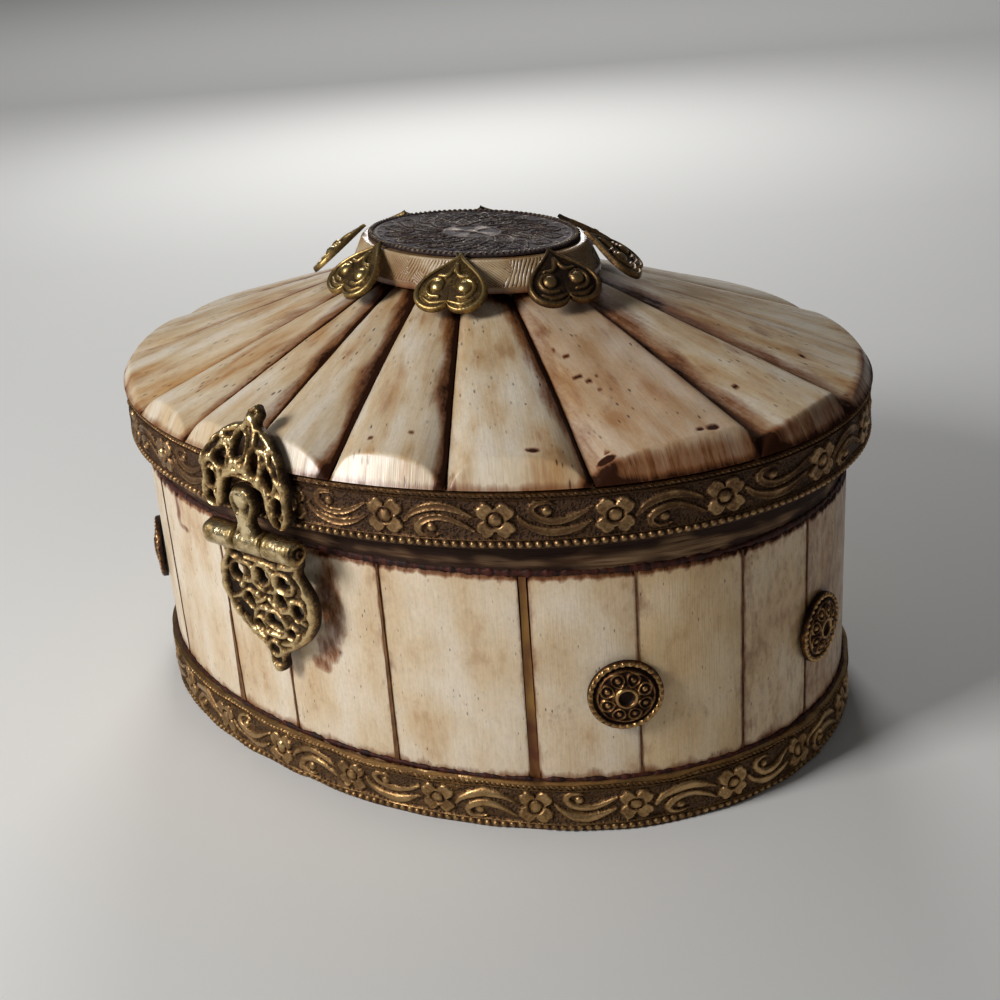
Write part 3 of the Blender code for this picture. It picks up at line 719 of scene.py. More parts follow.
@dataclass(frozen=True)
class Bone:
    """Cattle bone, sawn, filed and polished: cream and silky, brown where handling grime soaked in.

    The mesh carries its own coordinates, across and along the fibres, and a stain value. The fibres
    give fine streaks, open pores give short dark flecks, and the stain runs along them.
    """

    name: str
    pale: str
    cream: str
    warm: str
    stain: str = "7A4522"
    tan: str = "A66731"
    spot: str = "A56F3C"
    grime: str = "28120A"
    hole: str = "3C1C0D"
    roughness: float = 0.07 * MM
    fibre: float = 0.28 * MM
    cloud: float = 9.0 * MM
    spotted: float = 0.40
    open_pores: float = 0.42
    pore: float = 0.55 * MM
    drawn: float = 1.7

    def build(self) -> bpy.types.Material:
        """Build the material.

        Returns:
            The bone's material.
        """
        tree = Shader(self.name)
        place = tree.add("Attribute", attribute_name="grain").outputs["Vector"]
        fibres = tree.noise(place, (self.fibre, self.fibre * 22, 1.0), 2.0)
        clouds = tree.noise(place, (self.cloud, self.cloud * self.drawn, 1.0), 5.0)
        fine = tree.noise(place, (1.2 * MM, 2.0 * MM * self.drawn, 1.0), 4.0)
        specks = tree.noise(place, (0.5 * MM, 0.9 * MM, 1.0), 3.0)
        spots = tree.noise(place, (2.0 * MM, 2.0 * MM * self.drawn, 1.0), 4.0)
        base = tree.ramp(clouds, [(0.34, self.pale), (0.52, self.cream), (0.72, self.warm)])
        base = tree.blend(0.60, base, tree.ramp(fibres, [(0.30, 0.84), (0.60, 1.0)]), "MULTIPLY")
        base = tree.blend(0.35, base, tree.ramp(specks, [(0.36, 0.78), (0.58, 1.0)]), "MULTIPLY")
        yellowed = tree.ramp(clouds, [(0.44, 0.0), (0.66, self.spotted)])
        spots = tree.maths("MULTIPLY", tree.ramp(spots, [(0.52, 0.0), (0.66, 1.0)]), yellowed)
        base = tree.blend(spots, base, linear(self.spot))
        soaked = tree.value("stain")
        for noise, share in ((fine, 1.0), (fibres, 0.35), (specks, 0.5)):
            soaked = tree.shaken(soaked, noise, share)
        light_stain = tree.span(soaked, 0.18, 0.85, 0.92)
        deep_stain = tree.span(soaked, 0.72, 1.25, 0.95)
        colour = tree.blend(light_stain, base, linear(self.stain), "MULTIPLY")
        colour = tree.blend(tree.maths("MULTIPLY", light_stain, 0.50), colour, linear(self.tan))
        colour = tree.blend(deep_stain, colour, linear(self.grime))
        dark = tree.maths("MULTIPLY", self.pores(tree, place), 0.80)
        colour = tree.blend(dark, colour, linear(self.hole))
        polish = tree.ramp(fine, [(0.3, 0.26), (0.7, 0.44)])
        clean = tree.maths("SUBTRACT", 1.0, deep_stain, clamp=True)
        height = tree.maths("SUBTRACT", tree.maths("MULTIPLY", fibres, 0.5), tree.maths("MULTIPLY", dark, 0.6))
        inputs = {
            "Base Color": colour,
            "Roughness": tree.maths("ADD", polish, tree.maths("MULTIPLY", deep_stain, 0.35)),
            "Subsurface Weight": 0.10,
            "Subsurface Radius": (1.0, 0.6, 0.35),
            "Subsurface Scale": 0.8 * MM,
            "Specular IOR Level": tree.maths("MULTIPLY", tree.maths("SUBTRACT", 1.06, deep_stain), 0.48),
            "Coat Weight": tree.maths("MULTIPLY", clean, 0.20),
            "Coat Roughness": 0.20,
        }
        return tree.finish(inputs, height, self.roughness)

    def pores(self, tree: Shader, place: bpy.types.NodeSocket) -> bpy.types.NodeSocket:
        """Dark holes: small pores in groups, and a few larger marks anywhere.

        Args:
            tree: the material's tree.
            place: coordinates across and along the fibres.

        Returns:
            A socket that is 1 in a hole.
        """
        groups = tree.ramp(tree.noise(place, (7 * MM, 11 * MM, 1.0), 2.0), [(0.46, 0.0), (0.60, 1.0)])
        small = tree.flecks(place, (self.pore, self.pore * 2.8, 1.0), 0.27, self.open_pores)
        marks = tree.flecks(place, (3.2 * MM, 5.0 * MM, 1.0), 0.085, 0.16)
        return tree.maths("MAXIMUM", tree.maths("MULTIPLY", small, groups), marks)


@dataclass(frozen=True)
class Brass:
    """Brass left to tarnish: brown in the hollows, rubbed bright on the high spots.

    The mesh carries how far each point stands proud. Cast pieces are grained by the mould, and
    rolled strip has a ground stippled with a punch.
    """

    name: str
    bright: str
    body: str
    tarnish: str
    shine: float = 0.30
    stipple: float = 0.0
    punch: float = 0.48 * MM
    dirt_and_shade: str = "241A18"
    roughness: float = 0.14 * MM

    def build(self) -> bpy.types.Material:
        """Build the material.

        Returns:
            The brass's material.
        """
        tree = Shader(self.name)
        place = tree.object_place()
        proud = tree.value("proud")
        specks = tree.noise(place, (0.45 * MM,) * 3, 3.0)
        wear = tree.shaken(proud, tree.noise(place, (3.2 * MM,) * 3, 4.0), 1.2)
        wear = tree.shaken(wear, specks, 0.8, clamp=True)
        colour = tree.ramp(wear, [(0.10, self.tarnish), (0.46, self.body), (0.92, self.bright)])
        # The punched pits of the low ground are darkened towards the dirt colour: dirt in them, and painted shade
        # inside them.
        low = tree.maths("MULTIPLY", tree.span(proud, 0.40, 0.15), self.stipple)
        pits = tree.maths("MULTIPLY", tree.flecks(place, (self.punch,) * 3, 0.62, 0.85), low)
        inputs = {
            "Base Color": tree.blend(tree.maths("MULTIPLY", pits, 0.7), colour, linear(self.dirt_and_shade)),
            "Metallic": tree.ramp(wear, [(0.05, 0.75), (0.40, 1.0)]),
            "Roughness": tree.ramp(wear, [(0.10, min(self.shine + 0.30, 0.9)), (0.85, self.shine)]),
        }
        height = tree.maths("SUBTRACT", tree.maths("MULTIPLY", specks, 0.5), pits)
        return tree.finish(inputs, height, self.roughness)


@dataclass(frozen=True)
class Softwood:
    """Softwood, planed and left bare: dry brown, with thin dark lines along the grain."""

    name: str
    pale: str
    dark: str
    grain: tuple[float, float, float]
    soak_and_shade: str = "240E07"

    def build(self) -> bpy.types.Material:
        """Build the material.

        Returns:
            The wood's material.
        """
        tree = Shader(self.name)
        place = tree.object_place()
        lines = tree.noise(place, self.grain, 4.0)
        patches = tree.noise(place, (14 * MM,) * 3, 3.0)
        colour = tree.ramp(lines, [(0.36, self.dark), (0.60, self.pale)])
        colour = tree.blend(0.8, colour, tree.ramp(patches, [(0.3, 0.62), (0.7, 1.0)]), "MULTIPLY")
        # The soaked value darkens the wood towards the soak colour. On the rim strip it carries painted shade from the
        # lid band's overhang as well as pitch.
        soaked = tree.span(tree.shaken(tree.value("soaked"), lines, 0.9), 0.25, 0.75, 0.94)
        colour = tree.blend(soaked, colour, linear(self.soak_and_shade))
        return tree.finish({"Base Color": colour, "Roughness": 0.74, "Specular IOR Level": 0.2}, lines, 0.12 * MM)


@dataclass(frozen=True)
class Pitch:
    """Shellac and pine pitch, melted into the joints: dark and half glossy, dull where dust sits."""

    name: str
    colour: str
    dust: str
    roughness: float = 0.5
    patch: float = 0.9 * MM

    def build(self) -> bpy.types.Material:
        """Build the material.

        Returns:
            The filler's material.
        """
        tree = Shader(self.name)
        place = tree.object_place()
        specks = tree.noise(place, (self.patch, self.patch, self.patch * 2.2), 4.0)
        colour = tree.ramp(specks, [(0.38, self.colour), (0.66, self.dust)])
        inputs = {"Base Color": colour, "Roughness": self.roughness, "Specular IOR Level": 0.25}
        return tree.finish(inputs, specks, 0.08 * MM)


LID_BONE = {"cloud": 5.0 * MM, "spotted": 0.70, "pore": 0.85 * MM, "drawn": 3.6}
FINISHES = {
    "wall_bone": Bone("polished_bone_wall", "EDDCC4", "E3CBA8", "D2B084", open_pores=0.16),
    "lid_bone": Bone("polished_bone_lid", "EBDCC5", "DCC29C", "C4955E", **LID_BONE),
    "brown_wall": Bone("browned_bone_wall", "EDD2AA", "E3C291", "D2A872", open_pores=0.16),
    "brown_lid": Bone("browned_bone_lid", "DAC0A4", "CDA981", "B7824D", **LID_BONE),
    "crown_bone": Bone("cut_bone", "C9B491", "A88B63", "7E5E38"),
    "cast": Brass("cast_brass", "D6BA88", "80643F", "2E2016", 0.33),
    "dull": Brass("dull_cast_brass", "A5875A", "6E5335", "32241A", 0.36),
    "knuckle": Brass("worn_cast_brass", "D8C399", "9A8256", "3E2E1D", 0.24),
    "medal": Brass("antique_cast_brass", "BC9460", "603F26", "26160E", 0.28),
    "rolled": Brass("rolled_brass", "B89668", "86653F", "64492F", 0.36, 0.9),
    "dark": Brass("tarnished_rolled_brass", "A8875E", "74563A", "583F2B", 0.36, 0.9),
    "grey": Brass("tarnished_plate", "8C7D68", "5A4B42", "36292B", 0.46),
    "gilt": Brass("rubbed_cast_brass", "D9BD80", "A0824E", "4B3820", 0.30),
    "wall_wood": Softwood("bent_softwood", "5A3C25", "2B190F", (12 * MM, 12 * MM, 0.6 * MM)),
    "rim_wood": Softwood("bare_softwood_edge", "A88562", "5E3F27", (9 * MM, 9 * MM, 0.38 * MM)),
    "board_wood": Softwood("board_softwood", "6B4A2E", "38230F", (16 * MM, 0.7 * MM, 6 * MM)),
    "honey": Pitch("honey_shellac", "8A6430", "5A2E17", 0.42, 4.2 * MM),
    "pitch": Pitch("dark_pitch", "1C0B07", "4E2012", 0.62),
    "seam_pitch": Pitch("worn_pitch", "4A2A18", "7A5230", 0.60),
    "smear": Pitch("brown_shellac", "7C5530", "55351D", 0.5),
}
Finishes = dict[str, bpy.types.Material]


# Bone work


def joint_angles(shares: tuple, count: int) -> np.ndarray:
    """Angles of the joints round an oval: the ones in view as measured, and even steps for the rest.

    Args:
        shares: the measured ones, as shares of a turn from the front.
        count: how many pieces go round.

    Returns:
        The angles, one more than there are pieces.
    """
    rest = np.linspace(shares[-1], shares[0] + 1, count - len(shares) + 2)
    return math.tau * (np.concatenate([shares, rest[1:]]) - 0.25)


@dataclass(frozen=True)
class Stave:
    """One upright bone plate of the case wall, between two joints."""

    number: int
    start: float
    end: float
    outline: Oval
    thickness: float = 3.0 * MM
    top: float = 49.4 * MM
    band_top: float = 10.0 * MM
    gap: float = 0.3 * MM
    swell: float = 0.05 * MM
    set_back: float = 0.04 * MM
    chipping: float = 0.22 * MM
    joint_stain: tuple[float, float] = (0.5, 0.5)
    spills_and_shadow: tuple = ()
    aged_and_shaded: float = 0.0
    clean: float = 0.08
    columns: int = 64
    rows: int = 90

    def build(self) -> bpy.types.Object:
        """Carry the plate's upright section along the wall, from one joint to the next.

        The face swells and sinks by a few hundredths of a millimetre, its sides are eased and its
        upper end is chipped.

        Returns:
            The plate.
        """
        start, end = self.outline.travel(np.array([self.start, self.end]))
        width = end - start - self.gap
        inset = self.gap / 2 / (end - start) * (self.end - self.start)
        angles = self.outline.even(self.columns, self.start, self.end)
        angles = np.interp(angles, [self.start, self.end], [self.start + inset, self.end - inset])
        across = np.linspace(0, width, self.columns)[:, None]
        height = np.linspace(0, self.top, self.rows)[None, :]
        side = np.minimum(across, width - across)
        out = self.swell * wander(across, height, 22 * MM, self.number) - self.set_back
        for depth, inside, reach in ((0.08, side, 0.30), (0.06, side, 3.0), (0.25, self.top - height, 0.6)):
            out = out - depth * MM * smooth_step(inside, reach * MM, 0)
        normal = self.outline.normals(angles)
        plan = self.outline.points(angles)[:, None] + normal[:, None] * np.minimum(out, 0)[..., None]
        chip = self.chipping * (np.clip(wander(across, 0.0, 2.6 * MM, 40 + self.number), -1, 1) - 1)
        rise = height + chip * smooth_step(height, self.top - 3 * MM, self.top)
        back = self.outline.points(angles) - normal * self.thickness
        rear = [raised(back, z)[:, None] for z in (self.top - 0.4 * MM, 0)]
        points = np.concatenate([raised(plan, rise), *rear], axis=1)
        grain = stacked(across, height, self.number * 0.37)
        values = {
            "grain": np.concatenate([grain, grain[:, : len(rear)]], axis=1),
            "stain": np.concatenate([self.stain(across, height, width), np.ones((self.columns, len(rear)))], axis=1),
        }
        return Surface(f"bone_stave_{self.number:02d}", points, values, tube=True, capped=True).build()

    def stain(self, across: np.ndarray, height: np.ndarray, width: float) -> np.ndarray:
        """Where brown has soaked in: beside the joints, at the foot and the head, and where filler was spilled. The
        extra darkening of the plates at the right is partly painted shade, and the marks on plate 3 beside the lower
        latch plate are partly that plate's painted shadow.

        Args:
            across: distance from the left edge.
            height: distance from the foot.
            width: the plate's width.

        Returns:
            Stain from 0 to a little over 1.
        """
        fray = 1 + 0.8 * wander(0.0, height, 9 * MM, 20 + self.number)
        total = 0.26 * smooth_step(wander(across, height, 24 * MM, 70 + self.number), 0.2, 1.1)
        for strength, inside in zip(self.joint_stain, (across, width - across)):
            total = total + strength * smooth_step(inside, 0.5 * MM * fray, 0)
            total = total + 0.30 * strength * smooth_step(inside, 4 * MM, 0)
        foot = 12.2 * MM + 1.5 * MM * wander(across, 0.0, 7 * MM, self.number)
        total = total + 0.75 * smooth_step(height, foot, self.band_top)
        brow = self.top - (1.4 + 0.9 * wander(across, 0.0, 3.1 * MM, 60 + self.number)) * MM
        total = total + 1.1 * smooth_step(height, brow, self.top - 0.2 * MM)
        # Marks of spilled filler; on plate 3 they also paint the shadow of the lower latch plate.
        spill_and_shadow = np.zeros(total.shape)
        for place, level, wide, tall in self.spills_and_shadow:
            middle = place * MM + 0.6 * MM * wander(0.0, height, 6 * MM, 3)
            away = np.hypot((across - middle) / wide, (height - level * MM) / tall)
            spill_and_shadow = np.maximum(spill_and_shadow, 0.95 * dome(away, MM))
        # Add the plate's extra darkening, partly stain and partly painted shade.
        return np.clip(total + spill_and_shadow + self.aged_and_shaded - self.clean, 0, 1.4)


@dataclass(frozen=True)
class CaseWall:
    """The bone plates round the wooden wall, and what fills the joints between and round them."""

    outline: Oval = Oval((74.2 * MM, 55.8 * MM), 2.1)
    joint_shares: tuple = (-0.0942, -0.0375, -0.0047, 0.0411, 0.0992, 0.1453, 0.1969, 0.2414)
    count: int = 16
    joint_stains: tuple = (0.4, 0.55, 0.5, 0.8, 0.55, 0.30, 0.55, 0.45)
    # Dark marks on plate 1 are spilled filler. Those on plate 3, beside the lower latch plate, are spilled filler and
    # a painted shadow of that plate.
    spills_and_shadow: tuple = (
        (1, (9.0, 46.5, 1.2, 5.0)),
        (1, (11.5, 42.5, 2.6, 0.6)),
        (3, (12.0, 39.5, 3.2, 11.0)),
        (3, (10.6, 30.0, 3.2, 3.4)),
        (3, (8.4, 26.5, 2.6, 2.0)),
    )
    smears: tuple = ((1, 1.5, 30.0), (3, 0.85, 47.0))
    smear_foot: float = 9.6 * MM
    smear_tip: float = 0.3 * MM
    smear_proud: float = 0.17 * MM
    # Extra darkening of each plate, rising towards the plates at the right: stain, and painted shade where the light
    # falls off.
    aged_and_shaded: tuple = (0.0, 0.0, 0.0, 0.0, 0.05, 0.12, 0.26, 0.50, 0.50)
    aged_behind: float = 0.08
    browned: tuple = (6, 7, 8, 9)
    wide_joint: int = 4
    wide_gap: float = 1.5 * MM
    filler_depth: float = 2.6 * MM
    filler_ends: tuple[float, float] = (1.0 * MM, 49.0 * MM)
    narrow_width: tuple[float, float] = (0.34 * MM, 0.34 * MM)
    wide_sunk: float = 0.16 * MM
    narrow_sunk: float = 0.02 * MM
    glue_lines: tuple = (
        ("glue_line_top", -0.45, 49.55, (0.28, 0.56), 21),
        ("glue_line_foot", 0.05, 10.0, (0.36, 0.50), 31),
    )
    ledge: tuple[float, float] = (49.75 * MM, 55.55 * MM)
    # Where the rim strip is left lightest, with the least painted shade: middle angle and width in degrees.
    bare: tuple[float, float] = (-32.0, 15.0)

    def staves(self, finishes: Finishes) -> None:
        """Build the plates. One joint is wide, and the plates beside it are narrower by half of it.

        Args:
            finishes: the built finishes by key.
        """
        turns = joint_angles(self.joint_shares, self.count)
        spare = self.wide_gap / 2 / self.outline.speed(turns[self.wide_joint])
        stains = self.joint_stains + (0.5,) * (self.count - len(self.joint_stains)) + self.joint_stains[:1]
        for number, (start, end) in enumerate(zip(turns[:-1], turns[1:]), 1):
            start += spare if number == self.wide_joint + 1 else 0
            end -= spare if number == self.wide_joint else 0
            spills_and_shadow = tuple(spill_and_shadow for stave, spill_and_shadow in self.spills_and_shadow if stave == number)
            aged_and_shaded = self.aged_and_shaded[number - 1] if number <= len(self.aged_and_shaded) else self.aged_behind
            beside = stains[number - 1 : number + 1]
            plate = Stave(number, start, end, self.outline, joint_stain=beside, spills_and_shadow=spills_and_shadow, aged_and_shaded=aged_and_shaded).build()
            finish = finishes["brown_wall" if number in self.browned else "wall_bone"]
            settle(plate, Body.CASE, Slot.BONE, finish, [f"stave_{number:02d}"])

    def strip(self, name: str, turn: float, width: tuple, behind: float, ends: tuple) -> bpy.types.Object:
        """A narrow upright strip of filler in a joint, slightly hollow across.

        Args:
            name: the strip's name.
            turn: the joint's angle.
            width: the strip's width at its foot and at its top.
            behind: how far its face stands behind the wall's face, below nought if it stands out.
            ends: height of its foot and of its top.

        Returns:
            The strip.
        """
        across = np.linspace(-0.5, 0.5, 7)[:, None]
        height = np.linspace(*ends, 60)[None, :]
        wide = np.interp(height, ends, width) * (1 + 0.12 * wander(height, 0.0, 7 * MM, 5))
        angles = turn + across * wide / self.outline.speed(turn)
        normal = self.outline.normals(angles)
        sunk = behind + 0.08 * wide * (1 - (2 * across) ** 2)
        face = self.outline.points(angles) - normal * sunk[..., None]
        back = self.outline.points(angles) - normal * self.filler_depth
        points = np.concatenate([raised(face, height), raised(back, height)[:, [-1, 0]]], axis=1)
        return Surface(name, points, {}, tube=True, capped=True).build()

    def line(self, name: str, oval: Oval, height: float, size: tuple, seed: int) -> bpy.types.Object:
        """A ragged bead of filler that runs right round the box.

        Args:
            name: its name.
            oval: where its middle runs.
            height: the height of its middle.
            size: how far it stands out, and its half height.
            seed: which unevenness it has.

        Returns:
            The bead.
        """
        angles = oval.lap(1700)
        turn = full_turn(12).T
        travel = oval.travel(angles)
        ragged = 1 + 0.5 * wander(travel, 0.0, 5 * MM, seed) + 0.35 * wander(travel, 0.0, 2.1 * MM, seed + 1)
        out = size[0] * np.cos(turn) * np.clip(ragged, 0.4, 1.4)
        rise = height + size[1] * np.sin(turn) * np.clip(ragged, 0.25, 2.2)
        plan = oval.points(angles) + oval.normals(angles) * out[..., None]
        return Surface(name, raised(plan, rise), {}, ring=True, tube=True).build()

    def rim_strip(self) -> bpy.types.Object:
        """The strip of bare wood above the plates: bent round the wall, flush with the bone, its edges rough. Its
        darkening is painted shade from the lid band's overhang, strongest near its top and least at the bare stretch,
        together with pitch along its foot.

        Returns:
            The strip.
        """
        outline = self.outline.grown(-0.35 * MM)
        angles = outline.lap(900)
        travel = outline.travel(angles)
        height = np.linspace(*self.ledge, 14)[None, :]
        ridges = 0.10 * MM * wander(0.0, height, 1.4 * MM, 3) + 0.08 * MM * wander(travel, height, 9 * MM, 4)
        low, high = self.ledge
        rough = 0.35 * MM * np.clip(wander(travel, 0.0, 5 * MM, 9), -1, 1)
        rise = height + rough * smooth_step(height, low + 1.5 * MM, low)
        plan = outline.points(angles) + outline.normals(angles) * (ridges - 0.15 * MM)[..., None]
        back = outline.points(angles) - outline.normals(angles) * self.filler_depth
        points = [raised(plan, rise), raised(back, high), raised(back, low)]
        # Painted shade under the lid band's overhang towards the top of the strip, and pitch at its foot, both carried
        # in the soaked value.
        under = smooth_step(height, low + 1.6 * MM, high - 1.2 * MM) + 0.55 * smooth_step(height, low + 1.6 * MM, low)
        bare = bell(signed_degrees(angles), *self.bare)
        soaked = 0.55 - 0.45 * bare + under * (1 - 0.35 * bare) + 0.4 * wander(travel, 3 * height, 16 * MM, 6)
        values = {"soaked": np.concatenate([np.clip(soaked, 0, 1), np.ones((len(angles), 2))], axis=1)}
        return Surface("rim_strip", np.concatenate(points, axis=1), values, ring=True, tube=True).build()

    def build(self, finishes: Finishes) -> None:
        """Build the wall's plates, joints and bare edge.

        Args:
            finishes: the built finishes by key.
        """
        self.staves(finishes)
        turns = joint_angles(self.joint_shares, self.count)
        for number, turn in enumerate(turns[:-1]):
            wide = number == self.wide_joint
            width = (self.wide_gap * 1.25, self.wide_gap * 0.8) if wide else self.narrow_width
            sunk = self.wide_sunk if wide else self.narrow_sunk
            filler = self.strip(f"joint_filler_{number + 1:02d}", turn, width, sunk, self.filler_ends)
            settle(filler, Body.CASE, Slot.BONE, finishes["honey" if wide else "seam_pitch"])
        for number, width, top in self.smears:
            name, sizes = f"joint_smear_{number + 1}", (width * MM, self.smear_tip)
            smear = self.strip(name, turns[number], sizes, -self.smear_proud, (self.smear_foot, top * MM))
            settle(smear, Body.CASE, Slot.BONE, finishes["smear"])
        settle(self.rim_strip(), Body.CASE, Slot.WOOD, finishes["rim_wood"])
        for name, grown, height, size, seed in self.glue_lines:
            line = self.line(name, self.outline.grown(grown * MM), height * MM, (size[0] * MM, size[1] * MM), seed)
            settle(line, Body.CASE, Slot.WOOD, finishes["pitch"])


@dataclass(frozen=True)
class Petal:
    """One fluted bone segment of the lid: straight from rim to crown, eased at its edges, with a sloped end."""

    number: int
    rim: tuple[float, float]
    crown: tuple[float, float]
    middle: float
    left_drop: tuple[float, float, float]
    right_drop: tuple[float, float, float]
    stains: tuple[float, float, float]
    fading: float
    knots: tuple = ()
    aged_and_shaded: float = 0.0
    rim_oval: Oval = Oval((76.8 * MM, 62.8 * MM), 2.0, (1.2 * MM, 1.0 * MM))
    crown_oval: Oval = Oval((22.6 * MM, 15.91 * MM), 2.0, (1.2 * MM, 1.0 * MM))
    foot_height: float = 66.3 * MM
    seat_height: float = 77.8 * MM
    rim_height: float = 4.0 * MM
    drop_base: float = 6.2 * MM
    crown_height: float = 6.4 * MM
    lean: float = math.radians(36)
    crown_share: float = 0.22
    easing: float = 0.20 * MM
    gap: float = 0.3 * MM
    clean: float = 0.08
    end_reach: float = 4.6 * MM
    end_rows: int = 30
    rows: int = 54
    columns: int = 96

    def drop(self, across: np.ndarray) -> np.ndarray:
        """How far the surface falls below its ridge: slowly at first, then fast at the very edge.

        Args:
            across: shares of the width.

        Returns:
            The fall in metres, at the rim.
        """
        left = np.clip((self.middle - across) / self.middle, 0, 1)
        right = np.clip((across - self.middle) / (1 - self.middle), 0, 1)
        falls = ((left, self.left_drop), (right, self.right_drop))
        scale = self.rim_height / self.drop_base * MM
        return sum(scale * (slow * share**2 + fast * share**steep) for share, (slow, fast, steep) in falls)

    def build(self) -> bpy.types.Object:
        """Rule the segment from the rim to the crown, and cut its end back to a slope.

        Above each point of the ruled floor stands the lower of two heights, the sloped end's and the
        flute's, blended over less than half a millimetre so that the ridge between them is round.

        Returns:
            The segment.
        """
        across = np.linspace(0, 1, self.columns)
        across = across + 0.014 * np.sin(2 * math.tau * across)
        ends = []
        for oval, (start, end) in ((self.rim_oval, self.rim), (self.crown_oval, self.crown)):
            inset = self.gap / 2 / oval.speed([start, end])
            ends.append(oval.points(np.interp(across, [0, 1], [start + inset[0], end - inset[1]])))
        outer, inner = ends
        length = np.linalg.norm(inner - outer, axis=1)[:, None]
        near = np.broadcast_to(np.linspace(0, self.end_reach, self.end_rows), (self.columns, self.end_rows))
        far = self.end_reach + (length - self.end_reach) * np.linspace(0, 1, self.rows)[None, 1:]
        reach = np.concatenate([near, far], axis=1)
        base = self.seat_height - self.foot_height
        shoulder = self.rim_height * math.tan(self.lean)
        shoulder_rise = base * shoulder / length + self.rim_height
        slope = (base + self.crown_height - shoulder_rise) / (length - shoulder)
        fall = self.crown_share + (1 - self.crown_share) * (1 - reach / length) ** self.fading
        flute = shoulder_rise + slope * (reach - shoulder) - self.drop(across)[:, None] * fall
        plan = outer[:, None] + (inner - outer)[:, None] * (reach / length)[..., None]
        x, y = plan[..., 0], plan[..., 1]
        uneven = 0.10 * MM * wander(x, y, 17 * MM, self.number) + 0.02 * MM * wander(x, y, 4 * MM, 50 + self.number)
        flute = flute + uneven * smooth_step(reach, 0, 6 * MM) - 0.10 * MM
        filed = 0.05 * MM * (1 + wander(4 * x, 4 * y, 30 * MM, 90 + self.number)) * smooth_step(reach, 0, 0.4 * MM)
        sloped = reach * (shoulder_rise / shoulder) - filed
        lower, upper = np.minimum(sloped, flute), np.maximum(sloped, flute)
        rounding = self.easing * np.log1p(np.exp((lower - upper) / self.easing)) * smooth_step(reach, 0, 0.5 * MM)
        rise = np.clip(lower - rounding, 0, base + self.crown_height)
        seat = raised(inner, self.seat_height)[:, None]
        points = np.concatenate([raised(plan, self.foot_height + rise), seat], axis=1)
        width = np.linalg.norm(np.diff(plan, axis=0), axis=-1).cumsum(axis=0)
        width = np.concatenate([np.zeros((1, reach.shape[1])), width])
        stain = self.stain(across[:, None], reach, length, width)
        grain = stacked(width - width[-1:] / 2, reach, self.number * 0.53)
        values = {
            "stain": np.concatenate([stain, stain[:, -1:]], axis=1),
            "grain": np.concatenate([grain, grain[:, -1:]], axis=1),
        }
        return Surface(f"bone_petal_{self.number:02d}", points, values, tube=True, capped=True).build()

    def stain(self, across: np.ndarray, reach: np.ndarray, length: np.ndarray, width: np.ndarray) -> np.ndarray:
        """Where brown has soaked in: along the flank of the groove, at the sloped end and at the crown. The extra
        darkening of the segments at the right is partly painted shade.

        Args:
            across: share of the width.
            reach: distance from the rim.
            length: distance from the rim to the crown.
            width: distance from the left edge.

        Returns:
            Stain from 0 to a little over 1.
        """
        left, right, foot = self.stains
        from_right = width[-1:] - width
        uneven = wander(reach, width, 24 * MM, 130 + self.number)
        flank = right * smooth_step(from_right, (2.6 + 1.3 * uneven) * MM + 0.06 * reach, 0.2 * MM)
        line = (0.45 + right / 2) * smooth_step(from_right, 0.8 * MM, 0.1 * MM)
        valley_width = (1.5 + 5.5 * left + 1.8 * uneven) * MM + 0.04 * reach
        valley = 0.9 * left * (smooth_step(width, valley_width, 0.2 * MM) + smooth_step(width, 0.5 * MM, 0))
        toe = foot * smooth_step(reach, 3.4 * MM, 1.6 * MM) * (0.75 + 0.35 * uneven)
        sole = 0.55 * smooth_step(reach, 0.9 * MM, 0)
        neck = 0.55 * smooth_step(reach, length - 5 * MM, length - 0.5 * MM)
        blotch = 0.40 * smooth_step(wander(width * 1.8, reach, 22 * MM, 170 + self.number), 0.25, 1.2)
        knot = np.zeros(width.shape)
        for share, place, radius in self.knots:
            away = np.hypot((across - share) * width[-1:], (reach - place * MM) * 1.8)
            knot = np.maximum(knot, 1.6 * dome(away, radius * MM))
        # The extra darkening added here is partly stain and partly painted shade.
        total = flank + line + valley + toe + sole + neck + blotch + knot + self.aged_and_shaded
        return np.clip(total - self.clean, 0, 1.5)


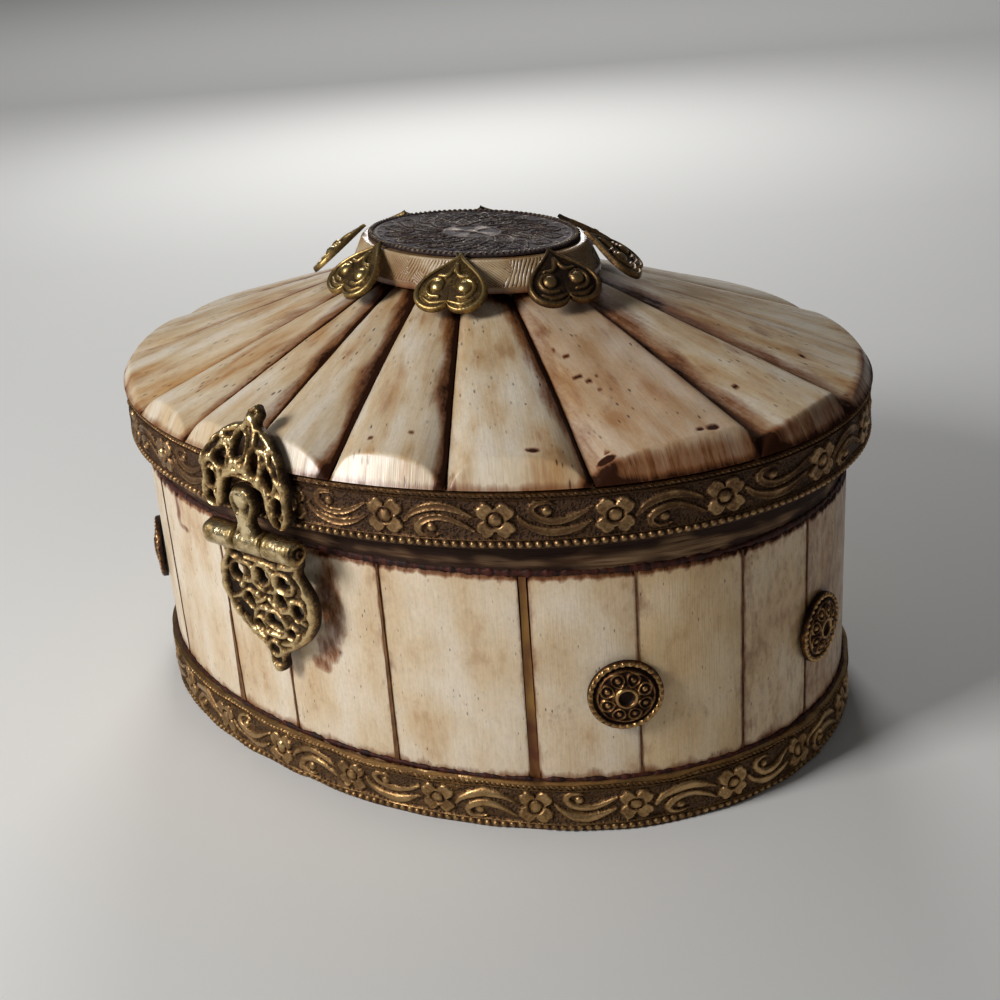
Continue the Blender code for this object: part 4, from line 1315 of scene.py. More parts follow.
@dataclass(frozen=True)
class FlutedLid:
    """The sixteen bone segments round the lid."""

    rim_shares: tuple = (-0.0778, -0.0375, -0.0025, 0.0347, 0.0781, 0.1297, 0.1967, 0.2547)
    crown_shares: tuple = (-0.1167, -0.0794, -0.0508, -0.0008, 0.0619, 0.1322, 0.2300, 0.3000)
    count: int = 16
    knots: tuple = (
        (4, (0.30, 6.4, 0.6)), (4, (0.66, 9.0, 0.7)), (5, (0.62, 4.6, 1.3)), (5, (0.66, 5.0, 0.7)),
        (6, (0.10, 3.4, 1.5)), (6, (0.12, 5.0, 0.9)), (6, (0.78, 4.3, 1.3)), (6, (0.70, 4.5, 0.7)),
        (6, (0.16, 27.0, 0.8)), (6, (0.20, 24.0, 0.9)), (6, (0.26, 22.5, 0.7)), (6, (0.22, 30.0, 0.7)),
        (6, (0.30, 20.0, 0.8)), (6, (0.34, 23.5, 0.6)), (6, (0.14, 33.0, 0.6)), (7, (0.35, 14.0, 0.6)),
        (7, (0.42, 22.0, 0.6)), (8, (0.40, 12.0, 0.7)),
    )
    # Extra darkening of each segment, rising towards the segments at the right: stain, and painted shade where the
    # light falls off.
    aged_and_shaded: tuple = (0.0, 0.0, 0.0, 0.0, 0.0, 0.10, 0.14, 0.25)
    browned: tuple = (6,)
    rim_heights: tuple = (3.2, 3.6, 4.0, 4.0, 4.0, 4.3, 3.7, 2.5, 1.8, 1.5, 1.5, 1.5, 1.5, 1.5, 1.6, 2.2)
    shapes: tuple = (
        (0.42, (0.8, 4.2, 5), (2.6, 3.2, 5), (0.10, 0.85, 0.10), 2.2),
        (0.42, (0.8, 4.6, 5), (2.8, 3.2, 5), (0.10, 0.95, 0.10), 2.2),
        # The sloped ends of segments 3 and 4 carry more foot stain than their neighbours: stain, and painted shade
        # that dims them where they face the key lamp.
        (0.34, (0.8, 4.8, 5), (5.2, 1.2, 5), (0.15, 1.30, 0.45), 2.2),
        (0.42, (1.0, 5.2, 5), (3.0, 3.4, 5), (0.15, 1.25, 0.24), 2.2),
        (0.44, (1.2, 5.0, 5), (2.8, 3.6, 5), (0.20, 1.15, 0.18), 2.2),
        (0.80, (2.8, 3.4, 9), (0.3, 2.0, 9), (0.45, 0.20, 0.95), 1.2),
        (0.82, (3.8, 2.2, 9), (0.2, 2.0, 9), (1.00, 0.15, 1.00), 0.9),
        (0.76, (3.6, 2.4, 9), (0.4, 2.0, 9), (1.00, 0.20, 0.70), 0.9),
        (0.45, (1.8, 3.8, 6), (2.2, 3.6, 6), (0.45, 0.55, 0.30), 2.2),
        (0.55, (2.2, 3.6, 6), (1.4, 4.2, 6), (0.35, 0.70, 0.20), 2.2),
        (0.50, (1.6, 4.2, 6), (2.2, 3.8, 6), (0.50, 0.40, 0.35), 2.2),
        (0.42, (1.8, 3.8, 6), (2.0, 3.8, 6), (0.30, 0.65, 0.15), 2.2),
        (0.52, (2.2, 3.6, 6), (1.6, 3.8, 6), (0.45, 0.50, 0.30), 2.2),
        (0.45, (1.8, 3.6, 6), (2.0, 4.2, 6), (0.35, 0.60, 0.25), 2.2),
        (0.48, (1.6, 3.8, 6), (2.2, 3.6, 6), (0.30, 0.55, 0.15), 2.2),
        (0.42, (0.8, 4.2, 5), (2.4, 3.6, 5), (0.20, 0.60, 0.15), 2.2),
    )

    def build(self, finishes: Finishes) -> None:
        """Build the segments.

        Args:
            finishes: the built finishes by key.
        """
        rims, crowns = (joint_angles(shares, self.count) for shares in (self.rim_shares, self.crown_shares))
        spans = zip(zip(rims[:-1], rims[1:]), zip(crowns[:-1], crowns[1:]), self.shapes)
        for number, (rim, crown, shape) in enumerate(spans, 1):
            extras = {
                "knots": tuple(knot for petal, knot in self.knots if petal == number),
                "aged_and_shaded": self.aged_and_shaded[number - 1] if number <= len(self.aged_and_shaded) else 0.0,
                "rim_height": self.rim_heights[number - 1] * MM,
            }
            made = Petal(number, rim, crown, *shape, **extras).build()
            finish = finishes["brown_lid" if number in self.browned else "lid_bone"]
            settle(made, Body.LID, Slot.BONE, finish, [f"petal_{number:02d}"])


@dataclass(frozen=True)
class Band:
    """An embossed brass strip round the box: flowers and paired scrolls on a punched ground.

    The pattern is drawn in millimetres on the unrolled strip. A flower stands at each measured place,
    the scrolls between two flowers turn over at every step, and beads run along the lower edge.
    """

    name: str
    inner: Oval
    foot: float
    flowers: tuple[float, ...]
    pitch: float
    first_up: bool
    hollow: float
    dents: float
    thickness: float = 0.9 * MM
    height: float = 10.0 * MM
    sunk: float = 0.30 * MM
    proud: float = 0.40 * MM
    bead_pitch: float = 1.5
    beads: float = 0.95
    axis: float = 5.15
    drawn_pitch: float = 18.0
    stretch: float = 1.02
    bead_row: float = -4.22
    rope_row: float = 4.12
    lines: tuple = ((-3.42, 0.17, 0.55), (3.5, 0.18, 0.55), (4.66, 0.16, 0.5))
    crescent: tuple = ((3.4, -0.6), (4.4, 0.7), (6.4, 1.75), (9.0, 2.25), (11.8, 1.75), (14.6, 0.45))
    comma: tuple = (
        (14.6, -1.9), (12.6, -0.75), (10.4, 0.15), (8.2, 0.30), (6.3, -0.45),
        (5.4, -1.65), (6.0, -2.75), (7.6, -3.05), (9.1, -2.55),
    )
    curl_bead: tuple[float, float, float] = (7.75, -1.45, 0.85)
    seam: float = -91.0
    lap: float = 0.32 * MM
    gape: tuple[float, float, float] = (-78.0, 11.0, 0.0)
    columns: int = 1640
    rows: int = 54

    def flower_turns(self) -> np.ndarray:
        """Angles of the flowers: the ones in view as measured, and even lengths for the rest.

        Returns:
            The angles, and the first one again a turn later.
        """
        shown = np.radians(self.flowers)
        oval = self.inner
        start, end = oval.travel(np.array([shown[-1], shown[0] + math.tau]))
        hidden = 2 * round((end - start) / self.pitch / 2) + 1 - len(shown) % 2
        rest = oval.even(hidden + 1, shown[-1], shown[0] + math.tau)
        return np.concatenate([shown, rest[1:]])

    def flower(self, x: np.ndarray, y: np.ndarray) -> np.ndarray:
        """Height of a flower: four rounded petals on the diagonals, with a ring and a button in the middle.

        Args:
            x: millimetres from its middle along the strip.
            y: millimetres above its middle.

        Returns:
            Heights from 0 to 1.
        """
        middle = np.hypot(x, y)
        lobes = np.abs(np.sin(2 * np.arctan2(y, x)))
        edge = 1.75 + 2.15 * lobes**0.8 - 0.45 * lobes**14
        inside = np.clip((edge - middle) / 0.45, 0, 1)
        petal = inside * (2 - inside) - 0.22 * smooth_step(edge - middle, 0.5, 0.9)
        vein = 0.20 * bell(np.abs(x) - np.abs(y), 0, 0.18) * smooth_step(middle, 1.6, 2.6)
        ring = 0.75 * bell(middle, 1.22, 0.18)
        return np.maximum((petal - vein) * 0.80 - ring, dome(middle, 0.92) * 0.9)

    def scrolls(self, x: np.ndarray, y: np.ndarray) -> np.ndarray:
        """Height of the two scrolls between flowers: a long crescent over a comma that curls round a bead.

        Args:
            x: millimetres from the flower on the left, out of eighteen.
            y: millimetres above the middle, with the comma's bead below it.

        Returns:
            Heights from 0 to 1.
        """
        height = np.zeros(x.shape)
        for path, width in ((self.crescent, 0.86), (self.comma, 0.72)):
            line = stroke(x, y, path, width, (0.35, 0.15))
            groove = stroke(x, y, path, width * 0.55, (0.35, 0.15))
            height = np.maximum(height, line**0.7 * 0.85 - self.hollow * groove)
        along, above, radius = self.curl_bead
        return np.maximum(height, dome(np.hypot(x - along, y - above), radius) * 0.9)

    def relief(self, travel: np.ndarray, height: np.ndarray, step: np.ndarray) -> np.ndarray:
        """Height of the whole pattern on the unrolled strip.

        Args:
            travel: metres along the strip.
            height: metres above its foot.
            step: how many flowers have been passed, with the part of the next step.

        Returns:
            Heights from 0 to 1.
        """
        y = height / MM - self.axis
        part = step - np.floor(step)
        x = part * self.drawn_pitch
        nearest = np.minimum(x, self.drawn_pitch - x) * np.where(part < 0.5, 1, -1)
        upturned = np.where((np.floor(step) % 2 == 0) == self.first_up, 1.0, -1.0)
        field = np.maximum(self.scrolls(x, y * upturned * self.stretch), self.flower(nearest, y))
        field = field * smooth_step(np.abs(y), 3.35, 3.15)
        along = travel / MM
        bead = along - self.bead_pitch * np.round(along / self.bead_pitch)
        beads = dome(np.hypot(bead, y - self.bead_row), 0.62)
        twist = 0.62 + 0.38 * np.cos(math.tau * (along / 0.95 + y / 0.9))
        rope = dome(y - self.rope_row, 0.34) * twist
        lines = sum(share * dome(np.abs(y - level), wide) for level, wide, share in self.lines)
        return highest(field, beads * self.beads, rope * 0.7, lines)

    def build(self, brass: bpy.types.Material, body: Body, slot: Slot, stands_for: str) -> None:
        """Wrap the pattern round the oval and give the strip its back.

        Args:
            brass: its finish.
            body: the body that it rides on.
            slot: the record's slot.
            stands_for: the CAD node that it is shown in place of.
        """
        outer = self.inner.grown(self.thickness)
        angles = outer.lap(self.columns)
        travel = outer.travel(angles)
        turns = self.flower_turns()
        wrapped = (angles - turns[0]) % math.tau + turns[0]
        step = np.interp(wrapped, turns, np.arange(len(turns)))
        height = np.linspace(0, self.height, self.rows)[None, :]
        relief = self.relief(travel, height, step)
        bent = self.dents * wander(travel, 6 * height, 34 * MM, 11) * MM
        past = (angles - math.radians(self.seam)) % math.tau * self.inner.half[0]
        lapped = self.lap * np.exp(-past / (7 * MM)) * (past < 30 * MM)
        lip = 0.18 * MM * smooth_step(np.minimum(height, self.height - height), 0.35 * MM, 0)
        out = np.minimum(relief * (self.sunk + self.proud) - self.sunk - lip + bent * 0.5, self.proud) - lapped
        normal = outer.normals(angles)
        open_by = self.gape[2] * bell(signed_degrees(angles), *self.gape[:2])
        lean = open_by * (height / self.height) ** 2.2
        plan = outer.points(angles) + normal * (out + lean)[..., None]
        sag = self.dents * 0.45 * MM * np.abs(wander(travel, 0.0, 23 * MM, 12))
        rise = self.foot + height - sag * height / self.height
        inner = self.inner.points(angles)
        behind = ((self.height, 1.0), (self.height - 3 * MM, 0.4), (self.height - 6 * MM, 0.0), (0, 0.0))
        ends = [raised(inner + normal * (share * open_by)[..., None], self.foot + z) for z, share in behind]
        rubbed = 0.85 * smooth_step(height, self.height - 0.7 * MM, self.height - 0.2 * MM)
        proud = np.concatenate([np.maximum(relief, rubbed), np.full((self.columns, len(behind)), 0.2)], axis=1)
        points = np.concatenate([raised(plan, rise), *ends], axis=1)
        strip = Surface(self.name, points, {"proud": proud}, ring=True, tube=True)
        settle(strip.build(), body, slot, brass, [stands_for])


BASE_BAND = Band(
    name="base_band_embossed",
    inner=Oval((74.5 * MM, 56.1 * MM), 2.1),
    foot=0.0,
    flowers=(-82.7, -69.0, -54.5, -39.2, -22.1, -6.8),
    pitch=18.2 * MM,
    first_up=False,
    hollow=0.0,
    dents=1.0,
    beads=0.72,
    gape=(-78.0, 11.0, 0.8 * MM),
)
LID_BAND = Band(
    name="lid_band_embossed",
    inner=Oval((75.6 * MM, 61.6 * MM), 2.0, (1.2 * MM, 1.0 * MM)),
    foot=56.0 * MM,
    flowers=(-70.3, -56.1, -40.7, -25.1, -5.5),
    pitch=18.4 * MM,
    first_up=True,
    hollow=0.45,
    dents=0.25,
)


@dataclass(frozen=True)
class Crown:
    """The oval bone boss on the lid, cut with fine slanting lines, and its embossed plate."""

    centre: tuple[float, float] = (1.2 * MM, 1.0 * MM)
    foot_radius: float = 26.5 * MM
    top_radius: float = 24.0 * MM
    plug_radius: float = 22.3 * MM
    wide_share: float = 0.70
    seat: float = 77.8 * MM
    foot: float = 84.5 * MM
    edge: float = 0.8 * MM
    top: float = 90.2 * MM
    plate_radius: float = 22.5 * MM
    plate_back: float = 90.5 * MM
    plate_face: float = 90.9 * MM
    rope_radius: float = 0.4 * MM
    pinhole: float = 0.1 * MM
    relief_height: float = 0.34 * MM
    eye: float = 0.004
    boss_grid: tuple[int, int] = (1500, 34)
    plate_grid: tuple[int, int] = (920, 104)

    def around(self, radius: np.ndarray | float, height: np.ndarray | float, angles: np.ndarray) -> np.ndarray:
        """Points of a turned shape that is narrower front to back.

        Args:
            radius: radii along the long axis.
            height: heights.
            angles: parameter angles.

        Returns:
            The points.
        """
        x = self.centre[0] + radius * np.cos(angles)
        y = self.centre[1] + radius * self.wide_share * np.sin(angles)
        return stacked(x, y, height)

    def boss(self) -> bpy.types.Object:
        """Turn the boss. Its sloped side is cut in panels of parallel lines that lean one way, then the other.

        Returns:
            The boss.
        """
        angles = full_turn(self.boss_grid[0])
        climb = np.linspace(0, 1, self.boss_grid[1])[None, :]
        travel = Oval((self.foot_radius, self.foot_radius * self.wide_share)).travel(angles)
        radius = self.foot_radius + (self.top_radius - self.foot_radius) * climb
        height = self.foot + self.edge + (self.top - self.foot - self.edge) * climb
        panel = wander(travel, climb * 6 * MM, 15 * MM, 61)
        lean = np.where(panel > 0, 1.9, -0.7)
        phase = math.tau * (travel / (0.72 * MM) + lean * climb * 5.4)
        cut = np.clip(np.sin(phase + 1.4 * wander(travel, climb * 5 * MM, 5 * MM, 62)) * 1.4 - 0.2, 0, 1)
        cut = cut * (0.72 + 0.28 * np.clip(wander(travel * 1.5, climb * 7 * MM, 11 * MM, 63), -1, 1))
        fade = smooth_step(climb, 0.02, 0.10) * smooth_step(climb, 1.0, 0.92)
        worn = 0.10 * MM * wander(travel, climb * 5 * MM, 13 * MM, 64)
        eased = 0.20 * MM * smooth_step(climb, 0.05, 0) + 0.22 * MM * smooth_step(climb, 0.95, 1)
        side = self.around(radius - 0.05 * MM - eased - 0.26 * MM * cut * fade - np.abs(worn), height, angles)
        low = self.around(self.foot_radius - 0.15 * MM, self.foot, angles)
        corners = (
            (self.top_radius - 1.0 * MM, self.top - 0.02 * MM),
            (self.top_radius * 0.5, self.top),
            (self.pinhole, self.top),
            (self.pinhole, self.seat),
            (self.plug_radius, self.seat),
            (self.plug_radius, self.foot),
        )
        closing = [self.around(*corner, angles) for corner in corners]
        soaked = 0.85 * cut * fade + 0.45 * smooth_step(climb, 0.30, 0)
        soaked = soaked + 0.25 * smooth_step(wander(travel, climb * MM, 17 * MM, 65), 0, 1)
        stain = np.clip(soaked, 0, 1.1)
        stain = np.concatenate([np.ones_like(angles), stain, np.full((len(angles), len(corners)), 0.5)], axis=1)
        grain = stacked(climb * 5.0 * MM, travel, 0.91)
        grain = np.concatenate([grain[:, :1], grain, np.repeat(grain[:, -1:], len(corners), axis=1)], axis=1)
        points = np.concatenate([low, side, *closing], axis=1)
        return Surface("crown_bone", points, {"stain": stain, "grain": grain}, ring=True, tube=True).build()

    def plate(self) -> bpy.types.Object:
        """Emboss the plate: a rosette, a ring of leaves with fine veins, and a twisted rope at its edge.

        Returns:
            The plate.
        """
        angles = full_turn(self.plate_grid[0])
        share = np.linspace(self.eye, 1, self.plate_grid[1])[None, :] ** 0.85
        radius = share * self.plate_radius
        reach, edge_reach = radius / MM, self.plate_radius / MM
        rosette = 0.6 * dome(reach - 3.4, 2.6) * np.clip(np.cos(4 * angles) * 1.3, 0, 1) ** 0.5
        leaves = 0.0
        for count, shift, middle, half in ((10, 0.0, 9.6, 3.4), (16, 0.5, 15.6, 3.4)):
            sway = angles + 0.10 * np.sin((reach - middle) / half * 2.4)
            leaf_turn = np.abs((sway * count / math.tau + shift) % 1 - 0.5)
            bulge = np.clip(1 - (leaf_turn / (0.42 * dome(reach - middle, half) + 1e-6)) ** 2, 0, 1)
            veins = np.clip(np.sin(reach * 4.4 + leaf_turn * 30), 0, 1)
            leaves = np.maximum(leaves, (0.72 * bell(bulge, 0.25, 0.20) + 0.50 * veins * bulge) * (bulge > 0))
        curls = 0.6 * np.clip(np.cos(26 * angles) * 1.6 - 0.5, 0, 1) * dome(reach - 19.8, 0.6)
        lines = 0.5 * (dome(reach - 6.0, 0.22) + dome(reach - 20.8, 0.22)) + 0.22 * np.clip(np.sin(reach * 9), 0, 1)
        relief = highest(rosette, dome(reach, 1.6), leaves, curls, lines)
        rope = dome(reach - (edge_reach - 0.62), 0.60)
        twist = 0.5 + 0.5 * np.cos(118 * angles + (reach - edge_reach) * 3.4)
        lift = self.relief_height * relief - 0.18 * MM
        strand = (self.rope_radius - 0.04 * MM - lift) * rope * (0.35 + 0.65 * twist)
        height = self.plate_face + np.minimum(lift + strand, self.rope_radius)
        back = [self.around(r, self.plate_back, angles) for r in (self.plate_radius, self.eye * self.plate_radius)]
        points = np.concatenate([self.around(radius, height, angles), *back], axis=1)
        proud = np.concatenate([np.maximum(relief * 0.72, rope * twist), np.zeros((len(angles), len(back)))], axis=1)
        return Surface("crown_plate_embossed", points, {"proud": proud}, ring=True, tube=True).build()

    def build(self, finishes: Finishes) -> None:
        """Build the boss and its plate.

        Args:
            finishes: the built finishes by key.
        """
        settle(self.boss(), Body.LID, Slot.BONE, finishes["crown_bone"], ["crown_boss"])
        settle(self.plate(), Body.LID, Slot.DARK, finishes["grey"], ["crown_plate"])


@dataclass(frozen=True)
class Hearts:
    """Cast brass hearts that hang over the crown's edge, each with two coiled bosses and a raised rim."""

    turns: tuple = (-66, -22, 22, 66, 114, 158, 202, 246)
    dulled: tuple = (2, 3, 4)
    edge: Oval = Oval((24.0 * MM, 16.8 * MM), 2.0, (1.2 * MM, 1.0 * MM))
    height: float = 90.2 * MM
    width: float = 13.8 * MM
    length: float = 13.0 * MM
    thickness: float = 0.8 * MM
    swell: float = 0.7 * MM
    slope: float = math.radians(38)
    tip_inset: float = 1.0 * MM
    rings: int = 44
    steps: int = 168

    def outline(self) -> np.ndarray:
        """Points round a heart from its point: x swings as a cubed sine, y as a sum of four cosines.

        Returns:
            The points, evenly spaced.
        """
        angles = np.linspace(-math.pi, math.pi, 4001)
        x = np.sin(angles) ** 3 * self.width / 2
        wave = 13 * np.cos(angles) - 3.5 * np.cos(2 * angles) - 1.5 * np.cos(3 * angles) - 0.5 * np.cos(4 * angles)
        y = (wave.min() - wave) / (wave.max() - wave.min()) * self.length
        travel = np.concatenate([[0], np.hypot(np.diff(x), np.diff(y)).cumsum()])
        places = np.linspace(0, travel[-1], self.steps + 1)[:-1]
        return np.stack([np.interp(places, travel, line) for line in (x, y)], axis=-1)

    def relief(self, x: np.ndarray, y: np.ndarray, share: np.ndarray) -> np.ndarray:
        """Height of the heart's face over its swelling: rim, coils, bosses and the ridge to its point.

        Args:
            x: millimetres from the middle line.
            y: millimetres from the point, with the lobes below.
            share: nothing at the heart's middle and one at its outline.

        Returns:
            Heights from 0 to 1.
        """
        ax = np.abs(x)
        rim = dome(share - 0.93, 0.075) * 0.55
        boss = dome(np.hypot(ax - 2.6, y + 8.0), 1.3)
        coil = stroke(ax, y, spiral(2.6, -8.0, 2.35, 250, 1.15)[:9], 0.42, (0.8, 0.5)) * 0.62
        arm = stroke(ax, y, [(0.15, -3.0), (0.5, -4.8), (1.4, -5.8), (2.8, -5.7)], 0.42, (0.4, 0.8)) * 0.60
        lobe = stroke(ax, y, [(0.0, -10.9), (1.4, -11.3), (3.2, -11.4), (4.9, -10.3)], 0.40, (0.6, 0.4)) * 0.5
        bud = dome(np.hypot(x * 1.2, (y + 4.0) * 0.75), 0.75) * 0.5
        return highest(rim, boss, coil, arm, lobe, bud)

    def one(self, number: int, degrees: float) -> bpy.types.Object:
        """Swell a heart from its outline, then lean it on the crown's edge.

        Args:
            number: its number.
            degrees: where on the crown it hangs.

        Returns:
            The heart.
        """
        outline = self.outline()
        middle = np.array([0, -self.length * 0.55])
        share = (np.linspace(0.01, 1, self.rings) ** 0.8)[None, :]
        plan = middle + (outline - middle)[:, None] * share[..., None]
        x, y = plan[..., 0], plan[..., 1]
        relief = self.relief(x / MM, y / MM, share)
        room = smooth_step(-y, 0.5 * MM, 4.5 * MM)
        swell = 0.75 * self.swell * (1 - share**2)
        lift = self.thickness + (swell - 0.1 * MM) * 0.95 + (relief - 0.22) * 0.85 * MM * room
        lift = lift - 0.35 * MM * smooth_step(share, 0.975, 1.0)
        angle = math.radians(degrees)
        outward = Vector((*self.edge.normals(np.array([angle]))[0], 0))
        up = Vector(UP)
        uphill = up * math.sin(self.slope) - outward * math.cos(self.slope)
        face = up * math.cos(self.slope) + outward * math.sin(self.slope)
        place = Vector((*self.edge.points(np.array([angle]))[0], self.height))
        place = place + face * FIT_GAP + uphill * self.tip_inset / math.cos(self.slope)
        carry = frame_at(place, uphill.cross(face), uphill, face)
        points = np.concatenate([carry(x, y, lift), carry(x, y, 0.9 * swell)[:, ::-1]], axis=1)
        proud = np.concatenate([np.clip(relief + 0.12, 0, 1), np.full(x.shape, 0.2)], axis=1)
        return Surface(f"heart_cast_{number}", points, {"proud": proud}, ring=True, tube=True).build()

    def build(self, finishes: Finishes) -> None:
        """Build the hearts. Those at the right are duller than the rest.

        Args:
            finishes: the built finishes by key.
        """
        for number, degrees in enumerate(self.turns, 1):
            finish = finishes["dull" if number in self.dulled else "gilt"]
            settle(self.one(number, degrees), Body.LID, Slot.CAST, finish, [f"heart_{number}"])


@dataclass(frozen=True)
class Medallions:
    """Cast bosses on the wall: milled rim, deep groove, beads under small arches, ring and dark centre."""

    turns: tuple = (-40, 0, 40, 140, 180, 220)
    wall: Oval = Oval((74.2 * MM, 55.8 * MM), 2.1)
    radius: float = 6.45 * MM
    height: float = 2.4 * MM
    centre: float = 26.8 * MM
    rings: int = 74
    steps: int = 264
    lobes: int = 30
    arches: int = 8

    def swelling(self, share: np.ndarray) -> np.ndarray:
        """Height of the plain dome under the relief, as a share of the whole height.

        Args:
            share: share of the radius.

        Returns:
            The heights.
        """
        return 0.30 + 0.42 * np.cos(np.clip(share, 0, 0.86) / 0.86 * math.pi / 2) ** 0.8

    def relief(self, share: np.ndarray, angles: np.ndarray) -> np.ndarray:
        """Height of the face as a share of the whole height.

        Args:
            share: share of the radius.
            angles: turn about the middle.

        Returns:
            The heights.
        """
        milled = 0.5 + 0.5 * np.cos(self.lobes * angles + 9 * share)
        rim = dome(share - 0.925, 0.075) * (0.08 + 0.13 * milled)
        groove = 0.12 * bell(share, 0.82, 0.03)
        ring = 0.05 * dome(share - 0.745, 0.035)
        part = (angles * self.arches / math.tau) % 1 - 0.5
        x = part * math.tau / self.arches * 0.55
        bead = 0.19 * dome(np.hypot(x, share - 0.53), 0.088)
        arch = 0.15 * bell(np.hypot(x, share - 0.53), 0.170, 0.034)
        valley = 0.08 * smooth_step(share, 0.34, 0.40) * smooth_step(share, 0.74, 0.70)
        collar = 0.13 * dome(share - 0.26, 0.045) ** 0.7
        bowl = 0.16 * smooth_step(share, 0.22, 0.14)
        return self.swelling(share) + rim - groove + ring + bead + arch - valley + collar - bowl

    def one(self, number: int, degrees: float) -> bpy.types.Object:
        """Spin the relief round the middle, square to the wall.

        Args:
            number: its number.
            degrees: where on the wall it sits.

        Returns:
            The boss.
        """
        share = np.linspace(0.004, 1, self.rings)[None, :]
        angles = full_turn(self.steps)
        relief = np.minimum(self.relief(share, angles), 1.0)
        lift = self.height * relief
        turn = math.radians(degrees)
        outward = np.array([*self.wall.normals(np.array([turn]))[0], 0])
        up = np.array(UP)
        place = np.array([*self.wall.points(np.array([turn]))[0], self.centre]) + outward * FIT_GAP
        carry = frame_at(place, np.cross(up, outward), up, outward)
        x, y = share * np.cos(angles) * self.radius, share * np.sin(angles) * self.radius
        back = [carry(x[:, [k]], y[:, [k]], 0.0) for k in (-1, 0)]
        points = np.concatenate([carry(x, y, lift), *back], axis=1)
        proud = np.clip((relief - self.swelling(share)) * 4.2 + 0.34 - 0.5 * smooth_step(share, 0.2, 0.12), 0, 1)
        proud = np.concatenate([proud, np.zeros((self.steps, 2))], axis=1)
        return Surface(f"medallion_cast_{number}", points, {"proud": proud}, ring=True, tube=True).build()

    def build(self, finishes: Finishes) -> None:
        """Build the bosses.

        Args:
            finishes: the built finishes by key.
        """
        for number, degrees in enumerate(self.turns, 1):
            settle(self.one(number, degrees), Body.CASE, Slot.CAST, finishes["medal"], [f"medallion_{number}"])


# Latch and hinge


